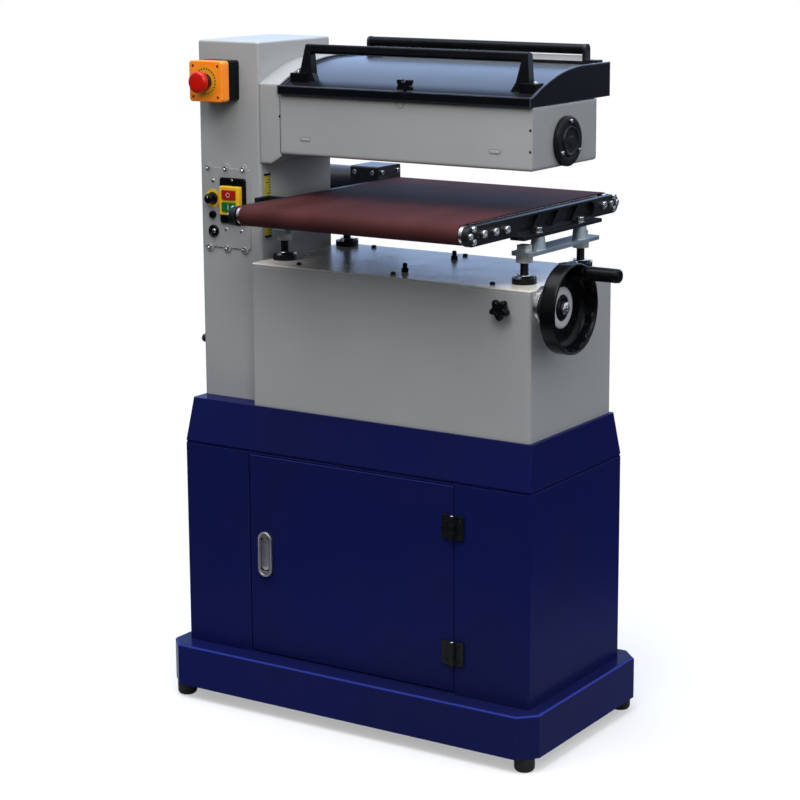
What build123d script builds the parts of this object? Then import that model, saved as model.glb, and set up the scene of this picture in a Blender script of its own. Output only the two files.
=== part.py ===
from build123d import *
import os
from math import cos, radians, sin

os.makedirs("parts", exist_ok=True)

# Open-ended drum sander. Millimetres, +X to the operator's right, +Y to the rear, +Z up, floor at Z = 0.

# Fits
running_fit = 0.05
press_gap = 0.02
part_gap = 0.4
screw_fit = 0.1

# Stand
foot_r = 19
foot_draft = 2
foot_h = 27
foot_neck_r = 13
foot_stud_r = 5
foot_inset = 29
plinth_over_x = 28.5
plinth_d = 426
plinth_h = 80
plinth_corner = 31
plinth_edge = 5
foot_flange_w = 75
sheet = 3
door_sheet = 2
cabinet_d = 342
cabinet_h = 393
cabinet_edge = 4
cap_reveal = 5
cap_reveal_inset = 2
cap_lip = 8
cap_h = 81
cap_taper_x = 6.5
cap_taper_y = 18
cap_ledge = 7

# Cabinet door
door_w = 452
door_t = 18
door_hinge_margin = 157
door_edge = 4
door_gap = 2
hinge_r = 6
hinge_pin_r = 2.5
hinge_leaf_w = 22
hinge_leaf_t = 4
hinge_h = 44
hinge_end_margin = 79
latch_w = 32
latch_h = 88
latch_t = 6
latch_from_edge = 37
latch_rise = 200
paddle_w = 17
paddle_h = 62
paddle_t = 4
paddle_pivot_depth = 3.2
paddle_pivot_up = 2.2
paddle_pin_r = 1.2
paddle_gap = 1
latch_pin_side = 3
latch_pin_end = 0.5

# Column, lift housing and deck
column_w = 141
column_d = 230
column_h = 676
column_edge = 6
column_top_edge = 4
column_wall = 4
housing_over = 18
housing_d = 300
housing_h = 265
housing_wall = 4
housing_edge = 6
deck_t = 6
shelf_t = 6
shelf_drop = 57

# Head
neck_w = 47
neck_drop = 18
neck_slope_w = 22
neck_slope_h = 14
head_over = 51
head_h = 110
head_below_top = 204
head_wall = 5
head_end = 15
head_edge = 5
drum_y = 0
drum_rise = 44
drum_r = 49.5
drum_inset = 4
drum_wall = 5
wrap_t = 1.5
shaft_r = 12.5
drum_slot = 84
bearing_r = 26
bearing_cap_r = 44.5
bearing_cap_t = 11
cap_ring_r = 27

# Dust hood over the drum
hood_gap = 1
hood_front = 10
hood_rear = 50
hood_rim_h = 17
hood_rim_t = 7
hood_h = 62
hood_wall = 3
hood_edge = 1.5
hood_flat = 105
lid_bulge_ratio = 0.27
lid_inset = 5
hood_plate_t = 4
hood_pivot_back = 30
hood_pivot_drop = 9
hood_pin_r = 4
hood_ear_w = 14
hood_ear_r = 9
hood_ear_in = 77
dust_port_r = 28.5
dust_port_wall = 2.5
dust_port_len = 40
dust_neck = 1.5
dust_neck_len = 3
handle_y = -85
handle_lean = 10
handle_h = 90
handle_bar = 17
handle_side = 25
handle_draw = 8
handle_shift = 4
handle_post_w = 27
handle_post_top = 12
handle_foot_w = 34
handle_foot_d = 26
handle_foot_rise = 14
handle_gusset_w = 16
roller_side = 36
roller_bar_r = 9.5
roller_shift = 7
return_lift = 17
roller_pin_r = 4
roller_y = 148
bracket_t = 6
bracket_d = 20
bracket_foot = 28
bracket_foot_t = 8
bracket_web_t = 2
bracket_web_gap = 1.5
hood_latch_w = 30
hood_latch_h = 18
hood_latch_t = 12
hood_latch_lift = 2.5
hood_latch_notch_r = 5
hood_latch_waist_r = 3.5
hood_latch_shift = 11
hood_latch_neck_r = 3.4
hood_latch_pin_r = 2
hood_latch_pin_in = 6

# Drive
pulley_w = 22
drum_pulley_r = 40
motor_pulley_r = 45
pulley_out = 71
groove_w = 12
groove_depth = 8
v_belt_w = 10
v_belt_t = 8
motor_r = 82
motor_len = 240
motor_foot_len = 144
motor_foot_w = 131
motor_box_len = 96
motor_axis_up = 112
motor_shaft_r = 9.5
motor_shaft_in = 30

# Feed table
feed_gap = 76.5
belt_from_head = 25
belt_w = 458
belt_t = 2
tube_r = 16
tube_over = 7
journal_r = 8
front_roller_y = -262
rear_roller_y = 242
rail_gap = 9
rail_below_belt = 3
rail_t = 12
rail_h = 34
rail_end = 20
rail_web = 4
rail_lip = 4
rail_flange_out = 16
rail_flange_t = 7
rail_flange_front = -118
rail_flange_rear = 168
bed_t = 8
bed_end_gap = 24
post_r = 7.5
post_front_y = -82
post_rear_y = 124
post_out_right = 8
post_out_left = 34
post_below_deck = 122
post_chamfer = 1
bar_w = 44
bar_t = 7
bar_front_over = 24
bar_rear_over = 26
boss_r = 12
boss_draft = 2
boss_h = 22
boss_out = 20
boss_front_y = -55
boss_rear_y = 98
clamp_r = 15
clamp_h = 14
clamp_ear_w = 22
clamp_ear_h = 10
gearbox_w = 66
gearbox_half = 40
feed_motor_r = 34
feed_motor_len = 104
pointer_w = 8
pointer_t = 9
pointer_gap = 4
pointer_rear_y = -98
pointer_front_y = -140
pointer_below_belt = 4

# Table lift
bushing_r = 22
bushing_t = 10
bushing_boss_r = 13
bushing_boss_h = 4
bushing_spigot_r = 14
nut_hub_r = 11
sprocket_r = 15
sprocket_t = 6
chain_t = 3.5
chain_h = 5
nut_gear_r = 18
nut_gear_w = 16
pinion_r = 8.7
pinion_w = 32
gear_clear = 0.3
wheel_drop = 31
wheel_out = 68
wheel_r = 80
wheel_rim_d = 30
wheel_rim_t = 7
wheel_web_t = 6
wheel_dish = 14
wheel_dish_r = 52
wheel_hub_r = 21
wheel_hub_proud = 5
wheel_shaft_r = 7
wheel_shaft_in = 110
wheel_flange_r = 35
wheel_flange_t = 12
hub_nut_r = 11
hub_nut_t = 8
grip_r = 12.5
grip_len = 65
grip_at = 67
grip_angle = 61
grip_gap = 2
grip_pin_r = 4
knob_x_in = 54
knob_drop = 35
knob_core_r = 14.4
knob_lobe_at = 13.6
knob_lobe_r = 6.4
knob_lobes = 5
knob_t = 15
knob_neck_r = 9
knob_neck_len = 7
knob_stud_r = 4
knob_stud_len = 30

# Controls on the column's front
panel_up = 364
panel_x_in = 62
panel_w = 110
panel_screw_out = 41
panel_h = 150
panel_t = 2.5
panel_lobe_r = 9
panel_window_w = 92
panel_window_h = 132
estop_up = 604
estop_x_in = 58
estop_w = 75
estop_base_d = 31
estop_lid_d = 22
estop_edge = 6
estop_collar_r = 15
estop_collar_out = 9
estop_stem_r = 11
estop_cap_r = 20
estop_cap_t = 13
estop_travel = 6
switch_x_in = 79.5
switch_up = 379
switch_w = 59
switch_h = 86
switch_t = 5
bezel_w = 46
bezel_h = 54
bezel_t = 10
bezel_up = 1
button_w = 31
button_h = 17
button_pitch = 23
button_proud = 3
button_travel = 3
knob_panel_x_in = 31
speed_knob_r = 12
speed_knob_t = 17
speed_knob_up = 381
speed_shaft_r = 3
reset_r = 7
reset_rest = 3
reset_travel = 3
reset_up = 350

# Screws
screw_r = 3
screw_head_r = 4.5
screw_head_h = 5
screw_len = 13
deck_screw_inset = 26
deck_screw_from_side = 92
deck_stud_y = 85
rail_bolt_r = 3
rail_bolt_head_r = 4.5
rail_bolt_head_h = 4
rail_bolt_circle = 11

# Widths that follow the feed belt's width.
drum_len = belt_w - 2 * drum_inset
head_w = belt_from_head + belt_w + head_over
handle_base_w = head_w - 2 * handle_side
handle_top_w = handle_base_w - 2 * handle_draw
roller_len = head_w - 2 * roller_side
housing_w = neck_w + head_w + housing_over
cabinet_w = housing_w + column_w + 2 * cap_taper_x + cap_ledge
plinth_w = cabinet_w + 2 * plinth_over_x
deck_screw_pitch = housing_w / 2 - deck_screw_from_side

# Places along X, worked out from the plinth's centre so that the whole machine is centred on X = 0.
housing_reach = housing_w + column_w + cap_taper_x - cabinet_w / 2
grip_reach = housing_reach + wheel_out + grip_gap + grip_len
plinth_x = (plinth_w / 2 - grip_reach) / 2
cabinet_right = plinth_x + cabinet_w / 2
column_left = plinth_x - cabinet_w / 2 + cap_taper_x
column_right = column_left + column_w
column_x = (column_left + column_right) / 2
housing_right = column_right + housing_w
housing_x = (column_right + housing_right) / 2
head_left = column_right + neck_w
head_right = head_left + head_w
head_x = (head_left + head_right) / 2
belt_x = head_left + belt_from_head + belt_w / 2
rail_inner = belt_w / 2 + rail_gap
rail_outer = rail_inner + rail_t
post_x_right = belt_x + rail_inner + post_out_right
post_x_left = belt_x - rail_inner - post_out_left
boss_x_right = belt_x + rail_inner + boss_out
boss_x_left = belt_x - rail_inner - boss_out
pulley_x = head_left - pulley_out - pulley_w / 2

# Heights
plinth_top = foot_h + plinth_h
cabinet_top = plinth_top + cabinet_h
cap_bottom = cabinet_top + cap_reveal
stand_top = cap_bottom + cap_h
housing_top = stand_top + housing_h
deck_top = housing_top + deck_t
column_top = stand_top + column_h
head_bottom = column_top - head_below_top
head_top = head_bottom + head_h
drum_z = head_bottom + drum_rise
hood_bottom = head_top + hood_gap
hood_top = hood_bottom + hood_h
lid_top = hood_top - lid_inset
belt_top = head_bottom - feed_gap
belt_r = tube_r + running_fit + belt_t
roller_z = belt_top - belt_r
rail_top = belt_top - rail_below_belt
rail_bottom = rail_top - rail_h
flange_bottom = rail_bottom - rail_flange_t
bar_top = flange_bottom - boss_h
bar_bottom = bar_top - bar_t
post_bottom = deck_top - post_below_deck
shelf_top = deck_top - shelf_drop
wheel_z = deck_top - wheel_drop

# Places along Y
cabinet_front = -cabinet_d / 2
column_front = -column_d / 2
housing_front = -housing_d / 2
hood_front_y = column_front - hood_front
hood_rear_y = column_d / 2 + hood_rear
hood_pivot_y = column_d / 2 + hood_pivot_back
hood_pivot_z = hood_bottom - hood_pivot_drop
wheel_y = post_front_y - nut_gear_r - pinion_r - gear_clear

posts = [
    (post_x_left, post_front_y),
    (post_x_right, post_front_y),
    (post_x_left, post_rear_y),
    (post_x_right, post_rear_y),
]

# Screw seats: each is a plane whose normal points out of the screw's head.
panel_x = column_left + panel_x_in
panel_z = stand_top + panel_up
panel_face = column_front - panel_t
panel_screw_spots = [
    (panel_x + across * panel_screw_out, panel_z + up * panel_h / 2)
    for across in (-1, 0, 1)
    for up in (-1, 1)
]
deck_screw_spots = [
    (housing_x + across * deck_screw_pitch, along * (housing_d / 2 - deck_screw_inset))
    for across in (-1, 0, 1)
    for along in (-1, 1)
]
deck_screw_spots += [(housing_x, -deck_stud_y), (housing_x, deck_stud_y)]
bushing_screw_circle = bushing_boss_r + screw_head_r + part_gap
cap_screw_circle = (bearing_cap_r + cap_ring_r) / 2

# Plinth: a pressed base frame with cut corners, open below, with a flange that carries the feet.
with BuildPart() as plinth:
    with BuildSketch(Plane.XY.offset(foot_h)) as plinth_outline:
        with Locations((plinth_x, 0)):
            Rectangle(plinth_w, plinth_d)
        chamfer(plinth_outline.vertices(), plinth_corner)
    extrude(amount=plinth_h)
    fillet(plinth.faces().sort_by(Axis.Z)[-1].edges(), plinth_edge)
    offset(amount=-sheet, openings=plinth.faces().sort_by(Axis.Z)[0])
    with BuildSketch(Plane.XY.offset(foot_h)) as flange_outline:
        with Locations((plinth_x, 0)):
            Rectangle(plinth_w, plinth_d)
        chamfer(flange_outline.vertices(), plinth_corner)
        with Locations((plinth_x, 0)):
            Rectangle(plinth_w - 2 * foot_flange_w, plinth_d - 2 * foot_flange_w, mode=Mode.SUBTRACT)
    extrude(amount=sheet)
    with Locations((plinth_x, 0, foot_h)):
        with GridLocations(plinth_w - 2 * foot_inset, plinth_d - 2 * foot_inset, 2, 2):
            Cylinder(foot_stud_r + screw_fit, 4 * sheet, mode=Mode.SUBTRACT)
plinth.part.label = "plinth"
export_step(plinth.part, "parts/plinth.step")

# Rubber feet with moulded-in studs that go through the plinth's flange.
with BuildPart() as rubber_feet:
    with Locations((plinth_x, 0, 0)):
        with GridLocations(plinth_w - 2 * foot_inset, plinth_d - 2 * foot_inset, 2, 2):
            Cone(foot_r, foot_r - foot_draft, foot_h / 2, align=(Align.CENTER, Align.CENTER, Align.MIN))
            Cylinder(foot_neck_r, foot_h, align=(Align.CENTER, Align.CENTER, Align.MIN))
            Cylinder(foot_stud_r, foot_h + 4 * sheet, align=(Align.CENTER, Align.CENTER, Align.MIN))
rubber_feet.part.label = "rubber_feet"
export_step(rubber_feet.part, "parts/rubber_feet.step")

# Cabinet: a folded steel box with a floor, an open top and a door opening in its front.
door_right = cabinet_right - door_hinge_margin
door_x = door_right - door_w / 2
door_h = cabinet_h - 2 * door_edge
door_z = plinth_top + cabinet_h / 2
with BuildPart() as cabinet_shell:
    with BuildSketch(Plane.XY.offset(plinth_top)) as cabinet_outline:
        with Locations((plinth_x, 0)):
            Rectangle(cabinet_w, cabinet_d)
        fillet(cabinet_outline.vertices(), cabinet_edge)
    extrude(amount=cabinet_h)
    offset(amount=-sheet, openings=cabinet_shell.faces().sort_by(Axis.Z)[-1])
    with Locations((door_x, cabinet_front, door_z)):
        Box(door_w + 2 * door_gap, 4 * sheet, door_h + 2 * door_gap, mode=Mode.SUBTRACT)
cabinet_shell.part.label = "cabinet_shell"
export_step(cabinet_shell.part, "parts/cabinet_shell.step")

# Door: a folded sheet pan, open towards the cabinet.
with BuildPart() as cabinet_door:
    with Locations((door_x, cabinet_front, door_z)):
        Box(door_w, door_t, door_h, align=(Align.CENTER, Align.MIN, Align.CENTER))
    fillet(cabinet_door.faces().sort_by(Axis.Y)[0].edges(), sheet / 2)
    offset(amount=-door_sheet, openings=cabinet_door.faces().sort_by(Axis.Y)[-1])
cabinet_door.part.label = "cabinet_door"
export_step(cabinet_door.part, "parts/cabinet_door.step")

# Door hinges: three knuckles on one pin, the outer two and the pin on the cabinet's leaf.
hinge_x = door_right + door_gap / 2
hinge_y = cabinet_front - hinge_r - part_gap
hinge_mid_h = hinge_h / 3
hinge_zs = [plinth_top + hinge_end_margin, cabinet_top - hinge_end_margin]
with BuildPart() as door_hinges:
    with Locations(*[(hinge_x, cabinet_front, z) for z in hinge_zs]):
        Box(hinge_leaf_w, hinge_leaf_t, hinge_h, align=(Align.MIN, Align.MAX, Align.CENTER))
    with Locations(*[(hinge_x, hinge_y, z) for z in hinge_zs]):
        Cylinder(hinge_r, hinge_h)
        Cylinder(hinge_r + part_gap, hinge_mid_h, mode=Mode.SUBTRACT)
        Cylinder(hinge_pin_r, hinge_h)
door_hinges.part.label = "door_hinges"
export_step(door_hinges.part, "parts/door_hinges.step")

with BuildPart() as hinge_door_leaves:
    with Locations(*[(hinge_x - door_gap, cabinet_front, z) for z in hinge_zs]):
        Box(hinge_leaf_w, hinge_leaf_t, hinge_h, align=(Align.MAX, Align.MAX, Align.CENTER))
    with Locations(*[(hinge_x, hinge_y, z) for z in hinge_zs]):
        Cylinder(hinge_r + part_gap, hinge_h, mode=Mode.SUBTRACT)
        Cylinder(hinge_r, hinge_mid_h - 2 * part_gap)
    with Locations(*[(hinge_x, cabinet_front - hinge_leaf_t / 2 - part_gap, z) for z in hinge_zs]):
        Box(hinge_r + door_gap, hinge_leaf_t - 2 * part_gap, hinge_mid_h - 2 * part_gap,
            align=(Align.MAX, Align.CENTER, Align.CENTER))
    with Locations(*[(hinge_x, hinge_y, z) for z in hinge_zs]):
        Cylinder(hinge_pin_r + running_fit, hinge_h, mode=Mode.SUBTRACT)
hinge_door_leaves.part.label = "hinge_door_leaves"
export_step(hinge_door_leaves.part, "parts/hinge_door_leaves.step")

# Door latch: an oblong chrome frame on the door, with a paddle that swings out about a pin at its foot.
latch_x = door_x - door_w / 2 + latch_from_edge
latch_z = plinth_top + latch_rise
paddle_pivot_y = cabinet_front - paddle_pivot_depth
paddle_pivot_z = latch_z - paddle_h / 2 + paddle_pivot_up
with BuildPart() as latch_plate:
    with BuildSketch(Plane.XZ.offset(-cabinet_front)):
        with Locations((latch_x, latch_z)):
            SlotOverall(latch_h, latch_w, rotation=90)
            Rectangle(paddle_w + 2 * part_gap, paddle_h + 2 * paddle_gap, mode=Mode.SUBTRACT)
    extrude(amount=latch_t)
    fillet(latch_plate.faces().sort_by(Axis.Y)[0].outer_wire().edges(), latch_t / 3)
    with Locations((latch_x, paddle_pivot_y, paddle_pivot_z)):
        Cylinder(paddle_pin_r + running_fit, latch_w - 2 * latch_pin_side, rotation=(0, 90, 0),
                 mode=Mode.SUBTRACT)
latch_plate.part.label = "latch_plate"
export_step(latch_plate.part, "parts/latch_plate.step")

with BuildPart() as latch_paddle:
    with Locations((latch_x, paddle_pivot_y, latch_z)):
        Box(paddle_w, paddle_t, paddle_h)
    fillet(latch_paddle.faces().sort_by(Axis.Y)[0].edges(), paddle_t / 4)
    with Locations((latch_x, paddle_pivot_y, paddle_pivot_z)):
        Cylinder(paddle_pin_r, latch_w - 2 * (latch_pin_side + latch_pin_end), rotation=(0, 90, 0))
latch_paddle.part.label = "latch_paddle"
export_step(latch_paddle.part, "parts/latch_paddle.step")

# Cabinet cap: a tapered sheet cover with a recessed lower lip and a hole for the drive belt.
with BuildPart() as cabinet_cap:
    with BuildSketch(Plane.XY.offset(cap_bottom)):
        with Locations((plinth_x, 0)):
            Rectangle(cabinet_w, cabinet_d)
    with BuildSketch(Plane.XY.offset(stand_top)):
        with Locations((plinth_x, 0)):
            Rectangle(cabinet_w - 2 * cap_taper_x, cabinet_d - 2 * cap_taper_y)
    loft()
    fillet(cabinet_cap.edges().group_by(Axis.Z)[1], cabinet_edge)
    offset(amount=-sheet, openings=cabinet_cap.faces().sort_by(Axis.Z)[0])
    with BuildSketch(Plane.XY.offset(cabinet_top)):
        with Locations((plinth_x, 0)):
            Rectangle(cabinet_w - 2 * cap_reveal_inset, cabinet_d - 2 * cap_reveal_inset)
            Rectangle(cabinet_w - 2 * (cap_reveal_inset + cap_lip),
                      cabinet_d - 2 * (cap_reveal_inset + cap_lip), mode=Mode.SUBTRACT)
    extrude(amount=cap_reveal)
    with Locations((column_x, 0, stand_top)):
        Box(column_w - 8 * column_wall, column_d - 16 * column_wall, 4 * sheet, mode=Mode.SUBTRACT)
cabinet_cap.part.label = "cabinet_cap"
export_step(cabinet_cap.part, "parts/cabinet_cap.step")

# Lift housing: a welded box with a shelf that carries the lift nuts, and a bored lug for the wheel's shaft.
shaft_end = housing_right - wheel_shaft_in
knob_x = housing_right - knob_x_in
knob_z = deck_top - knob_drop
with BuildPart() as lift_housing:
    with BuildSketch(Plane.XY.offset(stand_top)) as housing_outline:
        with Locations((housing_x, 0)):
            Rectangle(housing_w, housing_d)
        fillet(housing_outline.vertices(), housing_edge)
        with Locations((housing_x, 0)):
            Rectangle(housing_w - 2 * housing_wall, housing_d - 2 * housing_wall, mode=Mode.SUBTRACT)
    extrude(amount=housing_h)
    with Locations((housing_x, 0, shelf_top)):
        Box(housing_w - housing_wall, housing_d - housing_wall, shelf_t,
            align=(Align.CENTER, Align.CENTER, Align.MAX))
    with Locations((shaft_end + shelf_t, wheel_y + 2 * wheel_shaft_r, wheel_z)):
        Box(2 * shelf_t, wheel_y + 2 * wheel_shaft_r - housing_front - housing_wall / 2, 4 * wheel_shaft_r,
            align=(Align.CENTER, Align.MAX, Align.CENTER))
    with Locations(*[(x, y, shelf_top) for x, y in posts]):
        Cylinder(nut_hub_r + running_fit, 4 * shelf_t, mode=Mode.SUBTRACT)
    with Locations((housing_right, wheel_y, wheel_z)):
        Cylinder(wheel_shaft_r + running_fit, 2 * wheel_shaft_in + 4 * shelf_t, rotation=(0, 90, 0),
                 mode=Mode.SUBTRACT)
    with Locations((knob_x, housing_front, knob_z)):
        Cylinder(knob_stud_r + running_fit, 4 * housing_wall, rotation=(90, 0, 0), mode=Mode.SUBTRACT)
lift_housing.part.label = "lift_housing"
export_step(lift_housing.part, "parts/lift_housing.step")

# Deck: the housing's bevelled top plate, bored for the four guide bushings.
with BuildPart() as housing_top_plate:
    with BuildSketch(Plane.XY.offset(housing_top)) as deck_outline:
        with Locations((housing_x, 0)):
            Rectangle(housing_w, housing_d)
        fillet(deck_outline.vertices(), housing_edge)
    extrude(amount=deck_t)
    chamfer(housing_top_plate.faces().sort_by(Axis.Z)[-1].edges(), deck_t / 3)
    with Locations(*[(x, y, deck_top) for x, y in posts]):
        Cylinder(bushing_spigot_r + press_gap, 4 * deck_t, mode=Mode.SUBTRACT)
        with PolarLocations(bushing_screw_circle, 3, start_angle=30):
            Cylinder(screw_r + screw_fit, 4 * deck_t, mode=Mode.SUBTRACT)
    with Locations(*[(x, y, deck_top) for x, y in deck_screw_spots]):
        Cylinder(screw_r + screw_fit, 4 * deck_t, mode=Mode.SUBTRACT)
housing_top_plate.part.label = "housing_top_plate"
export_step(housing_top_plate.part, "parts/housing_top_plate.step")

# Guide bushings: round flanges on the deck that the lift posts slide through.
with BuildPart() as lift_bushings:
    with Locations(*[(x, y, deck_top) for x, y in posts]):
        Cylinder(bushing_r, bushing_t, align=(Align.CENTER, Align.CENTER, Align.MIN))
        Cylinder(bushing_boss_r, bushing_t + bushing_boss_h, align=(Align.CENTER, Align.CENTER, Align.MIN))
        Cylinder(bushing_spigot_r, deck_t, align=(Align.CENTER, Align.CENTER, Align.MAX))
    with Locations(*[(x, y, deck_top) for x, y in posts]):
        Cylinder(post_r + 2 * running_fit, 4 * (bushing_t + bushing_boss_h), mode=Mode.SUBTRACT)
        with PolarLocations(bushing_screw_circle, 3, start_angle=30):
            Cylinder(screw_r + screw_fit, 4 * bushing_t, mode=Mode.SUBTRACT)
lift_bushings.part.label = "lift_bushings"
export_step(lift_bushings.part, "parts/lift_bushings.step")

# Lift nuts: each turns in the shelf on its hub, is driven by the chain and raises its post. The front right
# one also carries the gear that the wheel's shaft turns.
def build_lift_nut(nut_x, nut_y, top_r):
    with BuildPart() as nut:
        with Locations((nut_x, nut_y, shelf_top + gear_clear)):
            Cylinder(nut_hub_r, housing_top - part_gap - shelf_top - gear_clear,
                     align=(Align.CENTER, Align.CENTER, Align.MIN))
            Cylinder(nut_hub_r, 2 * shelf_t, align=(Align.CENTER, Align.CENTER, Align.MAX))
            Cylinder(sprocket_r, sprocket_t, align=(Align.CENTER, Align.CENTER, Align.MIN))
        with Locations((nut_x, nut_y, wheel_z)):
            Cylinder(top_r, nut_gear_w)
            Cylinder(post_r + 2 * running_fit, 4 * shelf_drop, mode=Mode.SUBTRACT)
    return nut


lift_nut_front_left = build_lift_nut(post_x_left, post_front_y, nut_hub_r)
lift_nut_front_left.part.label = "lift_nut_front_left"
export_step(lift_nut_front_left.part, "parts/lift_nut_front_left.step")
lift_nut_front_right = build_lift_nut(post_x_right, post_front_y, nut_gear_r)
lift_nut_front_right.part.label = "lift_nut_front_right"
export_step(lift_nut_front_right.part, "parts/lift_nut_front_right.step")
lift_nut_rear_left = build_lift_nut(post_x_left, post_rear_y, nut_hub_r)
lift_nut_rear_left.part.label = "lift_nut_rear_left"
export_step(lift_nut_rear_left.part, "parts/lift_nut_rear_left.step")
lift_nut_rear_right = build_lift_nut(post_x_right, post_rear_y, nut_hub_r)
lift_nut_rear_right.part.label = "lift_nut_rear_right"
export_step(lift_nut_rear_right.part, "parts/lift_nut_rear_right.step")

# Lift chain: one loop around the four sprockets.
chain_inner = sprocket_r + gear_clear
chain_z = shelf_top + gear_clear + (sprocket_t - chain_h) / 2
with BuildPart() as lift_chain:
    with BuildSketch(Plane.XY.offset(chain_z)):
        with Locations(*posts):
            Circle(chain_inner + chain_t)
        make_hull()
    extrude(amount=chain_h)
    with BuildSketch(Plane.XY.offset(chain_z)):
        with Locations(*posts):
            Circle(chain_inner)
        make_hull()
    extrude(amount=chain_h, mode=Mode.SUBTRACT)
lift_chain.part.label = "lift_chain"
export_step(lift_chain.part, "parts/lift_chain.step")

# Handwheel: a deep rim, a dished web with a bored hub, and the pin that the crank grip turns on.
wheel_face = housing_right + wheel_out
rim_back = wheel_face - wheel_rim_d
hub_back = housing_right + wheel_flange_t + part_gap
web_back = rim_back - wheel_dish
hub_front = web_back + wheel_web_t + wheel_hub_proud
grip_y = wheel_y + grip_at * cos(radians(grip_angle))
grip_z = wheel_z + grip_at * sin(radians(grip_angle))
wheel_axis = Axis((0, wheel_y, wheel_z), (1, 0, 0))
with BuildPart() as handwheel:
    with BuildSketch(Plane.XZ.offset(-wheel_y)):
        with Locations(((rim_back + wheel_face) / 2, wheel_z + wheel_r - wheel_rim_t / 2)):
            RectangleRounded(wheel_rim_d, wheel_rim_t, wheel_rim_t / 4)
        with Locations((hub_back, wheel_z)):
            Rectangle(hub_front - hub_back, wheel_hub_r, align=(Align.MIN, Align.MIN))
        with BuildLine():
            Polyline(
                (web_back, wheel_z),
                (web_back, wheel_z + wheel_dish_r),
                (rim_back + wheel_rim_t / 4, wheel_z + wheel_r - wheel_rim_t / 2),
                (rim_back + wheel_rim_t / 4 + wheel_web_t, wheel_z + wheel_r - wheel_rim_t / 2),
                (web_back + wheel_web_t, wheel_z + wheel_dish_r),
                (web_back + wheel_web_t, wheel_z),
                close=True,
            )
        make_face()
    revolve(axis=wheel_axis)
    with Locations((rim_back + wheel_rim_t / 4, grip_y, grip_z)):
        Cylinder(wheel_r - grip_at, wheel_rim_d - wheel_rim_t / 4, rotation=(0, 90, 0),
                 align=(Align.CENTER, Align.CENTER, Align.MIN))
    with Locations((wheel_face, wheel_y, wheel_z)):
        Cylinder(wheel_shaft_r + press_gap, 4 * wheel_out, rotation=(0, 90, 0), mode=Mode.SUBTRACT)
    with Locations((wheel_face, grip_y, grip_z)):
        Cylinder(grip_pin_r, grip_gap + grip_len - grip_r, rotation=(0, 90, 0),
                 align=(Align.CENTER, Align.CENTER, Align.MIN))
handwheel.part.label = "handwheel"
export_step(handwheel.part, "parts/handwheel.step")

# Wheel shaft: runs through the flange to the bored lug inside, with the gear that turns the front right nut.
with BuildPart() as wheel_shaft:
    with Locations((shaft_end, wheel_y, wheel_z)):
        Cylinder(wheel_shaft_r, hub_front - shaft_end, rotation=(0, 90, 0),
                 align=(Align.CENTER, Align.CENTER, Align.MIN))
    with Locations((post_x_right, wheel_y, wheel_z)):
        Cylinder(pinion_r, pinion_w, rotation=(0, 90, 0))
    with BuildSketch(Plane.YZ.offset(hub_front)):
        with Locations((wheel_y, wheel_z)):
            RegularPolygon(hub_nut_r, 6)
    extrude(amount=hub_nut_t)
wheel_shaft.part.label = "wheel_shaft"
export_step(wheel_shaft.part, "parts/wheel_shaft.step")

# Wheel flange: the bright bearing flange on the housing's right side.
with BuildPart() as wheel_flange:
    with Locations((housing_right, wheel_y, wheel_z)):
        Cylinder(wheel_flange_r, wheel_flange_t, rotation=(0, 90, 0),
                 align=(Align.CENTER, Align.CENTER, Align.MIN))
        Cylinder(wheel_shaft_r + running_fit, 4 * wheel_flange_t, rotation=(0, 90, 0), mode=Mode.SUBTRACT)
    chamfer(wheel_flange.faces().sort_by(Axis.X)[-1].outer_wire().edges(), wheel_flange_t / 4)
wheel_flange.part.label = "wheel_flange"
export_step(wheel_flange.part, "parts/wheel_flange.step")

# Crank grip: a plain round handle that spins freely on the wheel's pin.
grip_root = wheel_face + grip_gap
with BuildPart() as crank_grip:
    with Locations((grip_root, grip_y, grip_z)):
        Cylinder(grip_r, grip_len, rotation=(0, 90, 0), align=(Align.CENTER, Align.CENTER, Align.MIN))
    fillet(crank_grip.edges().filter_by(GeomType.CIRCLE), grip_r / 5)
    with Locations((grip_root, grip_y, grip_z)):
        Cylinder(grip_pin_r + running_fit, 2 * (grip_len - grip_r + grip_gap), rotation=(0, 90, 0),
                 mode=Mode.SUBTRACT)
crank_grip.part.label = "crank_grip"
export_step(crank_grip.part, "parts/crank_grip.step")

# Lock knob: a five-lobed star knob on a threaded stud through the housing's front.
with BuildPart() as lock_knob:
    with BuildSketch(Plane.XZ.offset(-housing_front + knob_neck_len)):
        with Locations((knob_x, knob_z)):
            Circle(knob_core_r)
            with PolarLocations(knob_lobe_at, knob_lobes, start_angle=90):
                Circle(knob_lobe_r)
    extrude(amount=knob_t)
    fillet(lock_knob.faces().sort_by(Axis.Y)[0].edges(), knob_t / 8)
    with Locations((knob_x, housing_front - part_gap, knob_z)):
        Cylinder(knob_neck_r, knob_neck_len - part_gap, rotation=(90, 0, 0),
                 align=(Align.CENTER, Align.CENTER, Align.MIN))
        Cylinder(knob_stud_r, knob_stud_len, rotation=(90, 0, 0),
                 align=(Align.CENTER, Align.CENTER, Align.MAX))
lock_knob.part.label = "lock_knob"
export_step(lock_knob.part, "parts/lock_knob.step")

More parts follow.
